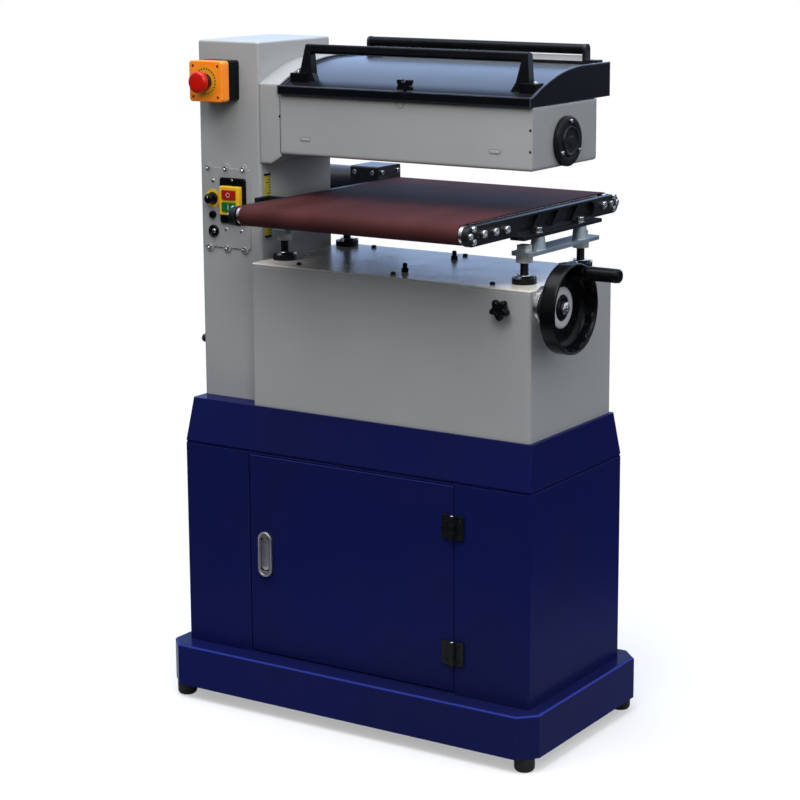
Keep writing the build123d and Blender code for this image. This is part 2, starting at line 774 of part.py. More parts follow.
# Column: a rounded hollow casting, open below, with a window behind the panel and one into the neck.
neck_pass_d = column_d - 2 * (head_edge + head_end)
neck_pass_h = head_h - 2 * head_end
with BuildPart() as column_shell:
    with BuildSketch(Plane.XY.offset(stand_top)):
        with Locations((column_x, 0)):
            RectangleRounded(column_w, column_d, column_edge)
    extrude(amount=column_h)
    fillet(column_shell.faces().sort_by(Axis.Z)[-1].edges(), column_top_edge)
    with BuildSketch(Plane.XY.offset(stand_top)):
        with Locations((column_x, 0)):
            RectangleRounded(column_w - 2 * column_wall, column_d - 2 * column_wall,
                             column_edge - column_wall)
    extrude(amount=column_h - 2 * column_wall, mode=Mode.SUBTRACT)
    with Locations((column_right, 0, head_bottom + head_h / 2)):
        Box(4 * column_wall, neck_pass_d, neck_pass_h, mode=Mode.SUBTRACT)
    with Locations((panel_x, column_front, panel_z)):
        Box(panel_window_w, 4 * column_wall, panel_window_h, mode=Mode.SUBTRACT)
    with Locations(*[(x, column_front, z) for x, z in panel_screw_spots]):
        Cylinder(screw_r + screw_fit, 4 * column_wall, rotation=(90, 0, 0), mode=Mode.SUBTRACT)
column_shell.part.label = "column_shell"
export_step(column_shell.part, "parts/column_shell.step")

# Neck: the fairing between column and head. Its top follows the dust hood, its underside slopes to the head.
rim_top = hood_bottom + hood_rim_h
lid_front_y = hood_front_y + hood_rim_t
arc_end_y = hood_rear_y - hood_flat
arc_mid_y = (lid_front_y + arc_end_y) / 2
arc_mid_z = hood_top - lid_bulge_ratio * (hood_h - hood_rim_h)
neck_bottom = head_bottom - neck_drop
with BuildPart() as head_neck:
    with BuildSketch(Plane.YZ.offset(column_right)):
        with BuildLine():
            Polyline(
                (arc_end_y, hood_top),
                (column_d / 2, hood_top),
                (column_d / 2, neck_bottom),
                (column_front, neck_bottom),
                (column_front, rim_top),
            )
            ThreePointArc((column_front, rim_top), (arc_mid_y, arc_mid_z), (arc_end_y, hood_top))
        make_face()
    extrude(amount=neck_w)
    slope_edge = head_neck.edges().filter_by(Axis.Y).group_by(Axis.X)[-1].sort_by(Axis.Z)[0]
    chamfer(slope_edge, length=neck_slope_h, length2=neck_slope_w,
            reference=head_neck.faces().sort_by(Axis.X)[-1])
    with Locations((column_right, 0, head_bottom + head_h / 2)):
        Box(4 * neck_w, neck_pass_d, neck_pass_h, mode=Mode.SUBTRACT)
head_neck.part.label = "head_neck"
export_step(head_neck.part, "parts/head_neck.step")

# Head housing: a trough-shaped casting, open above and slotted below for the drum, bored for the bearings,
# with two ears and pins at the rear that the dust hood swings on.
ear_xs = [head_left + hood_ear_in, head_right - hood_ear_in]
with BuildPart() as head_housing:
    with Locations((head_x, 0, head_bottom)):
        Box(head_w, column_d, head_h, align=(Align.CENTER, Align.CENTER, Align.MIN))
    fillet(head_housing.faces().sort_by(Axis.Z)[0].edges(), head_edge)
    with Locations((head_x, 0, head_bottom + head_wall)):
        Box(head_w - 2 * head_end, column_d - 2 * head_wall, head_h,
            align=(Align.CENTER, Align.CENTER, Align.MIN), mode=Mode.SUBTRACT)
    with Locations((belt_x, drum_y, head_bottom)):
        Box(drum_len + head_end, drum_slot, 4 * head_wall, mode=Mode.SUBTRACT)
    with Locations((head_x, drum_y, drum_z)):
        Cylinder(bearing_r, 2 * head_w, rotation=(0, 90, 0), mode=Mode.SUBTRACT)
    with Locations(Plane((head_right, drum_y, drum_z), x_dir=(0, 1, 0), z_dir=(1, 0, 0))):
        with PolarLocations(cap_screw_circle, 3, start_angle=90):
            Cylinder(screw_r + screw_fit, 2 * (screw_len - bearing_cap_t) + 4 * part_gap, mode=Mode.SUBTRACT)
    for ear_x in ear_xs:
        with Locations((ear_x, column_d / 2, hood_pivot_z)):
            Box(hood_ear_w, hood_pivot_back, 2 * hood_ear_r, align=(Align.CENTER, Align.MIN, Align.CENTER))
        with Locations((ear_x, hood_pivot_y, hood_pivot_z)):
            Cylinder(hood_ear_r, hood_ear_w, rotation=(0, 90, 0))
            Cylinder(hood_pin_r, 3 * hood_ear_w, rotation=(0, 90, 0))
head_housing.part.label = "head_housing"
export_step(head_housing.part, "parts/head_housing.step")

# Drum bearings: one in each end wall of the head.
with BuildPart() as drum_bearings:
    with Locations((head_left + head_end / 2, drum_y, drum_z), (head_right - head_end / 2, drum_y, drum_z)):
        Cylinder(bearing_r - press_gap, head_end, rotation=(0, 90, 0))
        Cylinder(shaft_r + running_fit, 2 * head_end, rotation=(0, 90, 0), mode=Mode.SUBTRACT)
drum_bearings.part.label = "drum_bearings"
export_step(drum_bearings.part, "parts/drum_bearings.step")

# Bearing cap: a round cover with a raised ring on the head's free end.
with BuildPart() as bearing_cap:
    with Locations((head_right, drum_y, drum_z)):
        Cylinder(bearing_cap_r, bearing_cap_t, rotation=(0, 90, 0),
                 align=(Align.CENTER, Align.CENTER, Align.MIN))
    fillet(bearing_cap.faces().sort_by(Axis.X)[-1].edges(), bearing_cap_t / 4)
    with Locations((head_right + bearing_cap_t, drum_y, drum_z)):
        Cylinder(cap_ring_r, bearing_cap_t / 4, rotation=(0, 90, 0),
                 align=(Align.CENTER, Align.CENTER, Align.MIN))
    with Locations((head_right, drum_y, drum_z)):
        Cylinder(shaft_r + part_gap, bearing_cap_t, rotation=(0, 90, 0), mode=Mode.SUBTRACT)
    with Locations(Plane((head_right, drum_y, drum_z), x_dir=(0, 1, 0), z_dir=(1, 0, 0))):
        with PolarLocations(cap_screw_circle, 3, start_angle=90):
            Cylinder(screw_r + screw_fit, 4 * bearing_cap_t, mode=Mode.SUBTRACT)
bearing_cap.part.label = "bearing_cap"
export_step(bearing_cap.part, "parts/bearing_cap.step")

# Sanding drum: a tube with end discs welded to its shaft.
shaft_left = pulley_x - pulley_w / 2
shaft_right = head_right + bearing_cap_t / 2 - part_gap
with BuildPart() as sanding_drum:
    with Locations((belt_x, drum_y, drum_z)):
        Cylinder(drum_r, drum_len, rotation=(0, 90, 0))
        Cylinder(drum_r - drum_wall, drum_len - 2 * head_end, rotation=(0, 90, 0), mode=Mode.SUBTRACT)
    with Locations((shaft_left, drum_y, drum_z)):
        Cylinder(shaft_r, shaft_right - shaft_left, rotation=(0, 90, 0),
                 align=(Align.CENTER, Align.CENTER, Align.MIN))
sanding_drum.part.label = "sanding_drum"
export_step(sanding_drum.part, "parts/sanding_drum.step")

# Abrasive strip wound on the drum.
with BuildPart() as abrasive_wrap:
    with Locations((belt_x, drum_y, drum_z)):
        Cylinder(drum_r + wrap_t, drum_len, rotation=(0, 90, 0))
        Cylinder(drum_r + press_gap, 2 * drum_len, rotation=(0, 90, 0), mode=Mode.SUBTRACT)
abrasive_wrap.part.label = "abrasive_wrap"
export_step(abrasive_wrap.part, "parts/abrasive_wrap.step")

# Drum pulley on the shaft's end inside the column.
with BuildPart() as drum_pulley:
    with Locations((pulley_x, drum_y, drum_z)):
        Cylinder(drum_pulley_r, pulley_w, rotation=(0, 90, 0))
        Cylinder(2 * drum_pulley_r, groove_w, rotation=(0, 90, 0), mode=Mode.SUBTRACT)
        Cylinder(drum_pulley_r - groove_depth - part_gap, groove_w, rotation=(0, 90, 0))
        Cylinder(shaft_r + press_gap, 2 * pulley_w, rotation=(0, 90, 0), mode=Mode.SUBTRACT)
drum_pulley.part.label = "drum_pulley"
export_step(drum_pulley.part, "parts/drum_pulley.step")

# Motor: a finned induction motor on a foot, bolted to the cabinet's floor.
cabinet_floor = plinth_top + sheet
motor_z = cabinet_floor + motor_axis_up
motor_left = pulley_x + pulley_w / 2 + 2 * part_gap + sheet
with BuildPart() as drum_motor:
    with Locations((motor_left, drum_y, motor_z)):
        Cylinder(motor_r, motor_len, rotation=(0, 90, 0), align=(Align.CENTER, Align.CENTER, Align.MIN))
    fillet(drum_motor.edges().filter_by(GeomType.CIRCLE), motor_r / 8)
    with Locations((motor_left + motor_len / 2, drum_y, cabinet_floor)):
        Box(motor_foot_len, motor_foot_w, motor_axis_up - motor_r / 2,
            align=(Align.CENTER, Align.CENTER, Align.MIN))
    with Locations((motor_left + motor_len / 2, drum_y, motor_z + motor_r / 2)):
        Box(motor_box_len, motor_r, motor_r, align=(Align.CENTER, Align.CENTER, Align.MIN))
    with Locations((motor_left, drum_y, motor_z)):
        Cylinder(motor_shaft_r + running_fit, 2 * (motor_shaft_in + part_gap), rotation=(0, 90, 0),
                 mode=Mode.SUBTRACT)
drum_motor.part.label = "drum_motor"
export_step(drum_motor.part, "parts/drum_motor.step")

# Motor pulley with the motor's shaft.
with BuildPart() as motor_pulley:
    with Locations((pulley_x, drum_y, motor_z)):
        Cylinder(motor_pulley_r, pulley_w, rotation=(0, 90, 0))
        Cylinder(2 * motor_pulley_r, groove_w, rotation=(0, 90, 0), mode=Mode.SUBTRACT)
        Cylinder(motor_pulley_r - groove_depth - part_gap, groove_w, rotation=(0, 90, 0))
        Cylinder(motor_shaft_r, motor_left + motor_shaft_in - pulley_x, rotation=(0, 90, 0),
                 align=(Align.CENTER, Align.CENTER, Align.MIN))
motor_pulley.part.label = "motor_pulley"
export_step(motor_pulley.part, "parts/motor_pulley.step")

# Drive belt between the two pulleys, running clear in their grooves.
with BuildPart() as drive_v_belt:
    with BuildSketch(Plane.YZ.offset(pulley_x - v_belt_w / 2)):
        with Locations((drum_y, drum_z)):
            Circle(drum_pulley_r - groove_depth + v_belt_t)
        with Locations((drum_y, motor_z)):
            Circle(motor_pulley_r - groove_depth + v_belt_t)
        make_hull()
    extrude(amount=v_belt_w)
    with BuildSketch(Plane.YZ.offset(pulley_x - v_belt_w / 2)):
        with Locations((drum_y, drum_z)):
            Circle(drum_pulley_r - groove_depth)
        with Locations((drum_y, motor_z)):
            Circle(motor_pulley_r - groove_depth)
        make_hull()
    extrude(amount=v_belt_w, mode=Mode.SUBTRACT)
drive_v_belt.part.label = "drive_v_belt"
export_step(drive_v_belt.part, "parts/drive_v_belt.step")

# Dust hood: a sheet cover with a thick front rim, a curved lid and a flat rear, with hinge lugs inside
# and a round dust outlet at the back. Its outer envelope also trims the pieces that stand on it.
hood_left = head_left + hood_gap
lug_out = hood_ear_w / 2 + part_gap
latch_y = (hood_front_y + lid_front_y) / 2


def build_hood_section(section_x, lid_drop, wall):
    step_z = rim_top if wall == 0 else rim_top - lid_drop
    with BuildSketch(Plane.YZ.offset(section_x)) as section:
        with BuildLine():
            Polyline(
                (arc_end_y, hood_top - lid_drop),
                (hood_rear_y - wall, hood_top - lid_drop),
                (hood_rear_y - wall, hood_bottom),
                (hood_front_y + wall, hood_bottom),
                (hood_front_y + wall, step_z),
                (lid_front_y, step_z),
            )
            if step_z > rim_top - lid_drop:
                Line((lid_front_y, step_z), (lid_front_y, rim_top - lid_drop))
            ThreePointArc((lid_front_y, rim_top - lid_drop), (arc_mid_y, arc_mid_z - lid_drop),
                          (arc_end_y, hood_top - lid_drop))
        make_face()
    return section.sketch


with BuildPart() as hood_envelope:
    extrude(build_hood_section(hood_left, lid_inset, 0), amount=head_w)

with BuildPart() as drum_hood:
    add(hood_envelope.part)
    for plate_x in (hood_left, hood_left + head_w - hood_plate_t):
        extrude(build_hood_section(plate_x, 0, 0), amount=hood_plate_t)
    fillet(drum_hood.edges().filter_by(Axis.X).group_by(Axis.Y)[0], hood_edge)
    for end in (0, -1):
        fillet(drum_hood.faces().sort_by(Axis.X)[end].edges(), hood_edge)
    extrude(build_hood_section(hood_left + hood_plate_t, lid_inset + hood_wall, hood_wall),
            amount=head_w - 2 * hood_plate_t, mode=Mode.SUBTRACT)
    for ear_x in ear_xs:
        for side in (-1, 1):
            with Locations((ear_x + side * (lug_out + hood_ear_w / 4), hood_pivot_y, hood_pivot_z)):
                Cylinder(hood_ear_r, hood_ear_w / 2, rotation=(0, 90, 0))
                Box(hood_ear_w / 2, 2 * hood_ear_r, lid_top - hood_wall / 2 - hood_pivot_z,
                    align=(Align.CENTER, Align.CENTER, Align.MIN))
        with Locations((ear_x, hood_pivot_y, hood_pivot_z)):
            Cylinder(hood_pin_r + running_fit, 4 * hood_ear_w, rotation=(0, 90, 0), mode=Mode.SUBTRACT)
    with Locations((head_x, hood_rear_y - hood_wall / 2, (hood_bottom + hood_top) / 2)):
        Cylinder(dust_port_r - dust_neck, dust_port_len + hood_wall / 2, rotation=(-90, 0, 0),
                 align=(Align.CENTER, Align.CENTER, Align.MIN))
    with Locations((head_x, hood_rear_y + dust_port_len, (hood_bottom + hood_top) / 2)):
        Cylinder(dust_port_r, dust_port_len - dust_neck_len, rotation=(-90, 0, 0),
                 align=(Align.CENTER, Align.CENTER, Align.MAX))
        Cylinder(dust_port_r - dust_port_wall, 4 * dust_port_len, rotation=(90, 0, 0), mode=Mode.SUBTRACT)
    with Locations((head_x + hood_latch_shift, latch_y, rim_top)):
        Cylinder(hood_latch_pin_r + running_fit, 2 * (hood_latch_pin_in + part_gap), mode=Mode.SUBTRACT)
drum_hood.part.label = "drum_hood"
export_step(drum_hood.part, "parts/drum_hood.step")

# Hood handle: one moulded bar with two tapering posts on shaped feet that stand on the curved lid.
lid_rise = (arc_mid_z - rim_top) / (arc_mid_y - lid_front_y)
handle_foot_z = rim_top - lid_inset + lid_rise * (handle_y - lid_front_y)
handle_rise = hood_bottom + handle_h - handle_foot_z
handle_len = (handle_rise ** 2 + handle_lean ** 2) ** 0.5
handle_x = head_x + handle_shift
handle_plane = Plane((handle_x, handle_y, handle_foot_z), x_dir=(1, 0, 0), z_dir=(0, -handle_rise, handle_lean))
foot_in = handle_base_w / 2 - handle_post_w
with BuildPart() as hood_handle:
    with BuildSketch(handle_plane) as handle_outline:
        with BuildLine():
            Polyline(
                (-handle_base_w / 2, -handle_foot_rise),
                (-handle_base_w / 2, handle_foot_rise),
                (-handle_top_w / 2, handle_len),
                (handle_top_w / 2, handle_len),
                (handle_base_w / 2, handle_foot_rise),
                (handle_base_w / 2, -handle_foot_rise),
                (foot_in - handle_gusset_w, -handle_foot_rise),
                (foot_in, handle_foot_rise),
                (handle_top_w / 2 - handle_post_top, handle_len - handle_bar),
                (handle_post_top - handle_top_w / 2, handle_len - handle_bar),
                (-foot_in, handle_foot_rise),
                (handle_gusset_w - foot_in, -handle_foot_rise),
                close=True,
            )
        make_face()
    extrude(amount=handle_bar / 2, both=True)
    fillet(hood_handle.edges().filter_by(Axis.X), handle_bar / 4)
    with Locations((handle_x - handle_base_w / 2, handle_y, handle_foot_z + handle_foot_rise),
                   (handle_x + handle_base_w / 2, handle_y, handle_foot_z + handle_foot_rise)):
        Box(handle_foot_w, handle_foot_d, 2 * handle_foot_rise, align=(Align.CENTER, Align.CENTER, Align.MAX))
    add(hood_envelope.part, mode=Mode.SUBTRACT)
hood_handle.part.label = "hood_handle"
export_step(hood_handle.part, "parts/hood_handle.step")

# Return roller: a bar that turns between the cheeks of a bracket on top of the hood. A thin web under the
# bar joins the cheeks.
return_x = head_x - roller_shift
return_z = lid_top + return_lift + roller_bar_r
bracket_in = roller_len / 2 + part_gap
with BuildPart() as roller_brackets:
    for side in (-1, 1):
        with Locations((return_x + side * (bracket_in + bracket_t / 2), roller_y, lid_top)):
            Box(bracket_t, bracket_d, return_z - lid_top, align=(Align.CENTER, Align.CENTER, Align.MIN))
        with Locations((return_x + side * (bracket_in + bracket_t / 2), roller_y, return_z)):
            Cylinder(bracket_d / 2, bracket_t, rotation=(0, 90, 0))
        with Locations((return_x + side * (bracket_in + bracket_t / 2), roller_y, lid_top)):
            Box(bracket_foot, bracket_d, bracket_foot_t, align=(Align.MIN, Align.CENTER, Align.MIN))
    with Locations((return_x, roller_y, lid_top)):
        Box(2 * bracket_in + bracket_t, bracket_web_t, return_z - roller_bar_r - bracket_web_gap - lid_top,
            align=(Align.CENTER, Align.CENTER, Align.MIN))
    with Locations((return_x, roller_y, return_z)):
        Cylinder(roller_pin_r + running_fit, 2 * roller_len, rotation=(0, 90, 0), mode=Mode.SUBTRACT)
roller_brackets.part.label = "roller_brackets"
export_step(roller_brackets.part, "parts/roller_brackets.step")

with BuildPart() as return_roller:
    with Locations((return_x, roller_y, return_z)):
        Cylinder(roller_bar_r, roller_len, rotation=(0, 90, 0))
    chamfer(return_roller.edges().filter_by(GeomType.CIRCLE), roller_bar_r / 10)
    with Locations((return_x, roller_y, return_z)):
        Cylinder(roller_pin_r, roller_len + 2 * bracket_t, rotation=(0, 90, 0))
return_roller.part.label = "return_roller"
export_step(return_roller.part, "parts/return_roller.step")

# Hood latch: a turn latch on a pin in the hood's front rim.
with BuildPart() as hood_latch:
    with Locations((head_x + hood_latch_shift, latch_y, rim_top + hood_latch_lift)):
        Box(hood_latch_w, hood_latch_t, hood_latch_h, align=(Align.CENTER, Align.CENTER, Align.MIN))
    fillet(hood_latch.edges().filter_by(Axis.Z), hood_latch_t / 4)
    with Locations((head_x + hood_latch_shift, latch_y, rim_top + hood_latch_lift + hood_latch_h)):
        Cylinder(hood_latch_notch_r, 2 * hood_latch_t, rotation=(90, 0, 0), mode=Mode.SUBTRACT)
    with Locations((head_x + hood_latch_shift, latch_y, rim_top + hood_latch_lift + hood_latch_h / 2)):
        with GridLocations(hood_latch_w, 0, 2, 1):
            Cylinder(hood_latch_waist_r, 2 * hood_latch_t, rotation=(90, 0, 0), mode=Mode.SUBTRACT)
    with Locations((head_x + hood_latch_shift, latch_y, rim_top + hood_latch_lift)):
        Cylinder(hood_latch_neck_r, hood_latch_lift - part_gap, align=(Align.CENTER, Align.CENTER, Align.MAX))
        Cylinder(hood_latch_pin_r, hood_latch_lift + hood_latch_pin_in,
                 align=(Align.CENTER, Align.CENTER, Align.MAX))
hood_latch.part.label = "hood_latch"
export_step(hood_latch.part, "parts/hood_latch.step")

# Lift posts: four threaded posts that stand in the nuts and carry the table.
with BuildPart() as lead_screws:
    with Locations(*[(x, y, post_bottom) for x, y in posts]):
        Cylinder(post_r, bar_top + clamp_ear_h - post_bottom, align=(Align.CENTER, Align.CENTER, Align.MIN))
    chamfer(lead_screws.edges().filter_by(GeomType.CIRCLE), post_chamfer)
lead_screws.part.label = "lead_screws"
export_step(lead_screws.part, "parts/lead_screws.step")

# Post clamps: a collar under each bar and a square block on top, both bored for the post.
with BuildPart() as post_clamps:
    with Locations(*[(x, y, bar_bottom) for x, y in posts]):
        Cylinder(clamp_r, clamp_h, align=(Align.CENTER, Align.CENTER, Align.MAX))
    with Locations(*[(x, y, bar_top) for x, y in posts]):
        Box(clamp_ear_w, clamp_ear_w, clamp_ear_h, align=(Align.CENTER, Align.CENTER, Align.MIN))
    fillet(post_clamps.edges().filter_by(Axis.Z).filter_by(GeomType.LINE), clamp_ear_w / 5)
    with Locations(*[(x, y, bar_bottom) for x, y in posts]):
        Cylinder(post_r + press_gap, 8 * clamp_h, mode=Mode.SUBTRACT)
post_clamps.part.label = "post_clamps"
export_step(post_clamps.part, "parts/post_clamps.step")

# Support bars: one flat bar on each side, from the front post to the rear post, with the rail's bosses on it.
bar_len = post_rear_y + bar_rear_over - post_front_y + bar_front_over
bar_y = post_front_y - bar_front_over + bar_len / 2
boss_ys = [boss_front_y, boss_rear_y]
with BuildPart() as support_bars:
    with Locations(((post_x_left + boss_x_left) / 2, bar_y, bar_bottom),
                   ((post_x_right + boss_x_right) / 2, bar_y, bar_bottom)):
        Box(bar_w, bar_len, bar_t, align=(Align.CENTER, Align.CENTER, Align.MIN))
    fillet(support_bars.edges().filter_by(Axis.Z), bar_w / 5)
    with Locations(*[(x, y, bar_top) for x in (boss_x_left, boss_x_right) for y in boss_ys]):
        Cone(boss_r + boss_draft, boss_r, boss_h, align=(Align.CENTER, Align.CENTER, Align.MIN))
    with Locations(*[(x, y, bar_bottom) for x, y in posts]):
        Cylinder(post_r + press_gap, 4 * bar_t, mode=Mode.SUBTRACT)
support_bars.part.label = "support_bars"
export_step(support_bars.part, "parts/support_bars.step")

# Side rails: a cast bar with rounded ends and a ribbed pocket, bored for the rollers, on an outward flange.
rail_len = rear_roller_y - front_roller_y + 2 * rail_end
rail_y = (front_roller_y + rear_roller_y) / 2
rail_z = (rail_top + rail_bottom) / 2
flange_len = rail_flange_rear - rail_flange_front
flange_y = (rail_flange_rear + rail_flange_front) / 2
pocket_h = rail_h - 2 * rail_lip
journal_in = rail_t - rail_web
front_bolts = [(front_roller_y + y, roller_z + z) for y, z in
               ((-rail_bolt_circle, 0), (0, rail_bolt_circle), (0, -rail_bolt_circle),
                (3 * rail_bolt_circle, 0), (7 * rail_bolt_circle, 0),
                (10 * rail_bolt_circle, -0.3 * rail_bolt_circle))]
rear_bolts = [(rear_roller_y + y, roller_z + z) for y, z in
              ((-3 * rail_bolt_circle, 0), (0, rail_bolt_circle), (rail_bolt_circle, 0),
               (0, -rail_bolt_circle))]


def build_rail(side, rear_bore, side_bolts):
    inner = belt_x + side * rail_inner
    with BuildPart() as rail:
        with BuildSketch(Plane.YZ.offset(inner)):
            with Locations((rail_y, rail_z)):
                SlotOverall(rail_len, rail_h)
        extrude(amount=side * rail_t)
        with Locations((inner + side * (rail_t + rail_flange_out) / 2, flange_y, flange_bottom)):
            Box(rail_t + rail_flange_out, flange_len, rail_flange_t,
                align=(Align.CENTER, Align.CENTER, Align.MIN))
        with BuildSketch(Plane.YZ.offset(inner + side * rail_t)):
            with Locations((flange_y, rail_z)):
                SlotOverall(flange_len, pocket_h)
            with Locations(*[(flange_y + step * flange_len / 4, rail_z) for step in (-1, 0, 1)]):
                Rectangle(pocket_h * 2, rail_lip, rotation=45, mode=Mode.SUBTRACT)
        extrude(amount=-side * journal_in, mode=Mode.SUBTRACT)
        with Locations((inner, front_roller_y, roller_z)):
            Cylinder(journal_r + running_fit, 2 * journal_in, rotation=(0, 90, 0), mode=Mode.SUBTRACT)
        with Locations((inner, rear_roller_y, roller_z)):
            Cylinder(journal_r + running_fit, 2 * rear_bore, rotation=(0, 90, 0), mode=Mode.SUBTRACT)
        with Locations(*[(inner + side * rail_t, y, z) for y, z in side_bolts]):
            Cylinder(rail_bolt_r + screw_fit, 2 * rail_web - 4 * part_gap, rotation=(0, 90, 0),
                     mode=Mode.SUBTRACT)
        with Locations(*[(belt_x + side * (rail_inner + boss_out), y, flange_bottom) for y in boss_ys]):
            Cylinder(rail_bolt_r + screw_fit, 4 * rail_flange_t, mode=Mode.SUBTRACT)
    return rail


right_rail = build_rail(1, journal_in, front_bolts + rear_bolts)
right_rail.part.label = "right_rail"
export_step(right_rail.part, "parts/right_rail.step")

# The left rail also carries the height pointer, a short arm that reaches forward beside the column's scale.
left_rail = build_rail(-1, 2 * rail_t, front_bolts)
with left_rail:
    with Locations((belt_x - rail_outer, pointer_rear_y, belt_top - pointer_below_belt)):
        Box(belt_x - rail_outer - column_right - pointer_gap, pointer_w, pointer_t,
            align=(Align.MAX, Align.MAX, Align.MAX))
    with Locations((column_right + pointer_gap, pointer_rear_y, belt_top - pointer_below_belt)):
        Box(pointer_w, pointer_rear_y - pointer_front_y, pointer_t, align=(Align.MIN, Align.MAX, Align.MAX))
left_rail.part.label = "left_rail"
export_step(left_rail.part, "parts/left_rail.step")

# Rail bolts: cap screws around each roller's seat and through the rail's flange into the bosses.
with BuildPart() as rail_bolts:
    for side, side_bolts in ((-1, front_bolts), (1, front_bolts + rear_bolts)):
        face_x = belt_x + side * rail_outer
        for bolt_y, bolt_z in side_bolts:
            with Locations(Plane((face_x, bolt_y, bolt_z), z_dir=(side, 0, 0))):
                Cylinder(rail_bolt_head_r, rail_bolt_head_h, align=(Align.CENTER, Align.CENTER, Align.MIN))
                Cylinder(rail_bolt_r, rail_web - 3 * part_gap, align=(Align.CENTER, Align.CENTER, Align.MAX))
        with Locations(*[(belt_x + side * (rail_inner + boss_out), y, rail_bottom) for y in boss_ys]):
            Cylinder(rail_bolt_head_r, rail_bolt_head_h, align=(Align.CENTER, Align.CENTER, Align.MIN))
            Cylinder(rail_bolt_r, rail_flange_t - part_gap, align=(Align.CENTER, Align.CENTER, Align.MAX))
rail_bolts.part.label = "rail_bolts"
export_step(rail_bolts.part, "parts/rail_bolts.step")

# Conveyor bed: a flat plate under the belt's upper run, on two cross bars between the rails.
bed_top = belt_top - belt_t - part_gap
bed_front = front_roller_y + bed_end_gap
bed_rear = rear_roller_y - bed_end_gap
with BuildPart() as conveyor_bed:
    with Locations((belt_x, (bed_front + bed_rear) / 2, bed_top)):
        Box(belt_w, bed_rear - bed_front, bed_t, align=(Align.CENTER, Align.CENTER, Align.MAX))
    with Locations((belt_x, boss_front_y, bed_top - bed_t), (belt_x, boss_rear_y, bed_top - bed_t)):
        Box(2 * rail_inner, 3 * bed_t, 2 * bed_t, align=(Align.CENTER, Align.CENTER, Align.MAX))
conveyor_bed.part.label = "conveyor_bed"
export_step(conveyor_bed.part, "parts/conveyor_bed.step")

# Conveyor belt: one abrasive-faced loop around the two rollers.
with BuildPart() as conveyor_belt:
    with BuildSketch(Plane.YZ.offset(belt_x - belt_w / 2)):
        with Locations((front_roller_y, roller_z), (rear_roller_y, roller_z)):
            Circle(belt_r)
        make_hull()
    extrude(amount=belt_w)
    with BuildSketch(Plane.YZ.offset(belt_x - belt_w / 2)):
        with Locations((front_roller_y, roller_z), (rear_roller_y, roller_z)):
            Circle(belt_r - belt_t)
        make_hull()
    extrude(amount=belt_w, mode=Mode.SUBTRACT)
conveyor_belt.part.label = "conveyor_belt"
export_step(conveyor_belt.part, "parts/conveyor_belt.step")

# Feed rollers: steel tubes on journals in the rails. The rear one goes on into the gearbox.
journal_half = rail_inner + journal_in - part_gap
tube_len = belt_w + 2 * tube_over
with BuildPart() as front_roller:
    with Locations((belt_x, front_roller_y, roller_z)):
        Cylinder(tube_r, tube_len, rotation=(0, 90, 0))
        Cylinder(journal_r, 2 * journal_half, rotation=(0, 90, 0))
front_roller.part.label = "front_roller"
export_step(front_roller.part, "parts/front_roller.step")

with BuildPart() as rear_roller:
    with Locations((belt_x, rear_roller_y, roller_z)):
        Cylinder(tube_r, tube_len, rotation=(0, 90, 0))
        Cylinder(journal_r, 2 * journal_half, rotation=(0, 90, 0))
    with Locations((belt_x - journal_half, rear_roller_y, roller_z)):
        Cylinder(journal_r, gearbox_w / 2, rotation=(0, 90, 0), align=(Align.CENTER, Align.CENTER, Align.MAX))
rear_roller.part.label = "rear_roller"
export_step(rear_roller.part, "parts/rear_roller.step")

# Feed gearmotor: a square gearbox on the left rail with a round motor behind it.
gearbox_right = belt_x - rail_outer
with BuildPart() as feed_gearmotor:
    with Locations((gearbox_right, rear_roller_y, roller_z)):
        Box(gearbox_w, 2 * gearbox_half, 2 * gearbox_half, align=(Align.MAX, Align.CENTER, Align.CENTER))
    fillet(feed_gearmotor.edges().filter_by(Axis.X), gearbox_half / 8)
    with Locations((gearbox_right - gearbox_w, rear_roller_y, roller_z)):
        Cylinder(feed_motor_r, feed_motor_len, rotation=(0, 90, 0),
                 align=(Align.CENTER, Align.CENTER, Align.MAX))
    fillet(feed_gearmotor.faces().sort_by(Axis.X)[0].edges(), feed_motor_r / 10)
    with Locations((gearbox_right, rear_roller_y, roller_z)):
        Cylinder(journal_r + running_fit, gearbox_w, rotation=(0, 90, 0), mode=Mode.SUBTRACT)
feed_gearmotor.part.label = "feed_gearmotor"
export_step(feed_gearmotor.part, "parts/feed_gearmotor.step")

# Control panel: a thin plate over the column's window, with a rounded lobe at each screw.
speed_x = column_left + knob_panel_x_in
speed_z = stand_top + speed_knob_up
reset_z = stand_top + reset_up
with BuildPart() as control_panel:
    with BuildSketch(Plane.XZ.offset(-column_front)):
        with Locations((panel_x, panel_z)):
            RectangleRounded(panel_w, panel_h, panel_lobe_r / 3)
        with Locations(*panel_screw_spots):
            Circle(panel_lobe_r)
            Circle(screw_r + screw_fit, mode=Mode.SUBTRACT)
        with Locations((speed_x, speed_z)):
            Circle(speed_shaft_r + running_fit, mode=Mode.SUBTRACT)
        with Locations((speed_x, reset_z)):
            Circle(reset_r + running_fit, mode=Mode.SUBTRACT)
    extrude(amount=panel_t)
control_panel.part.label = "control_panel"
export_step(control_panel.part, "parts/control_panel.step")

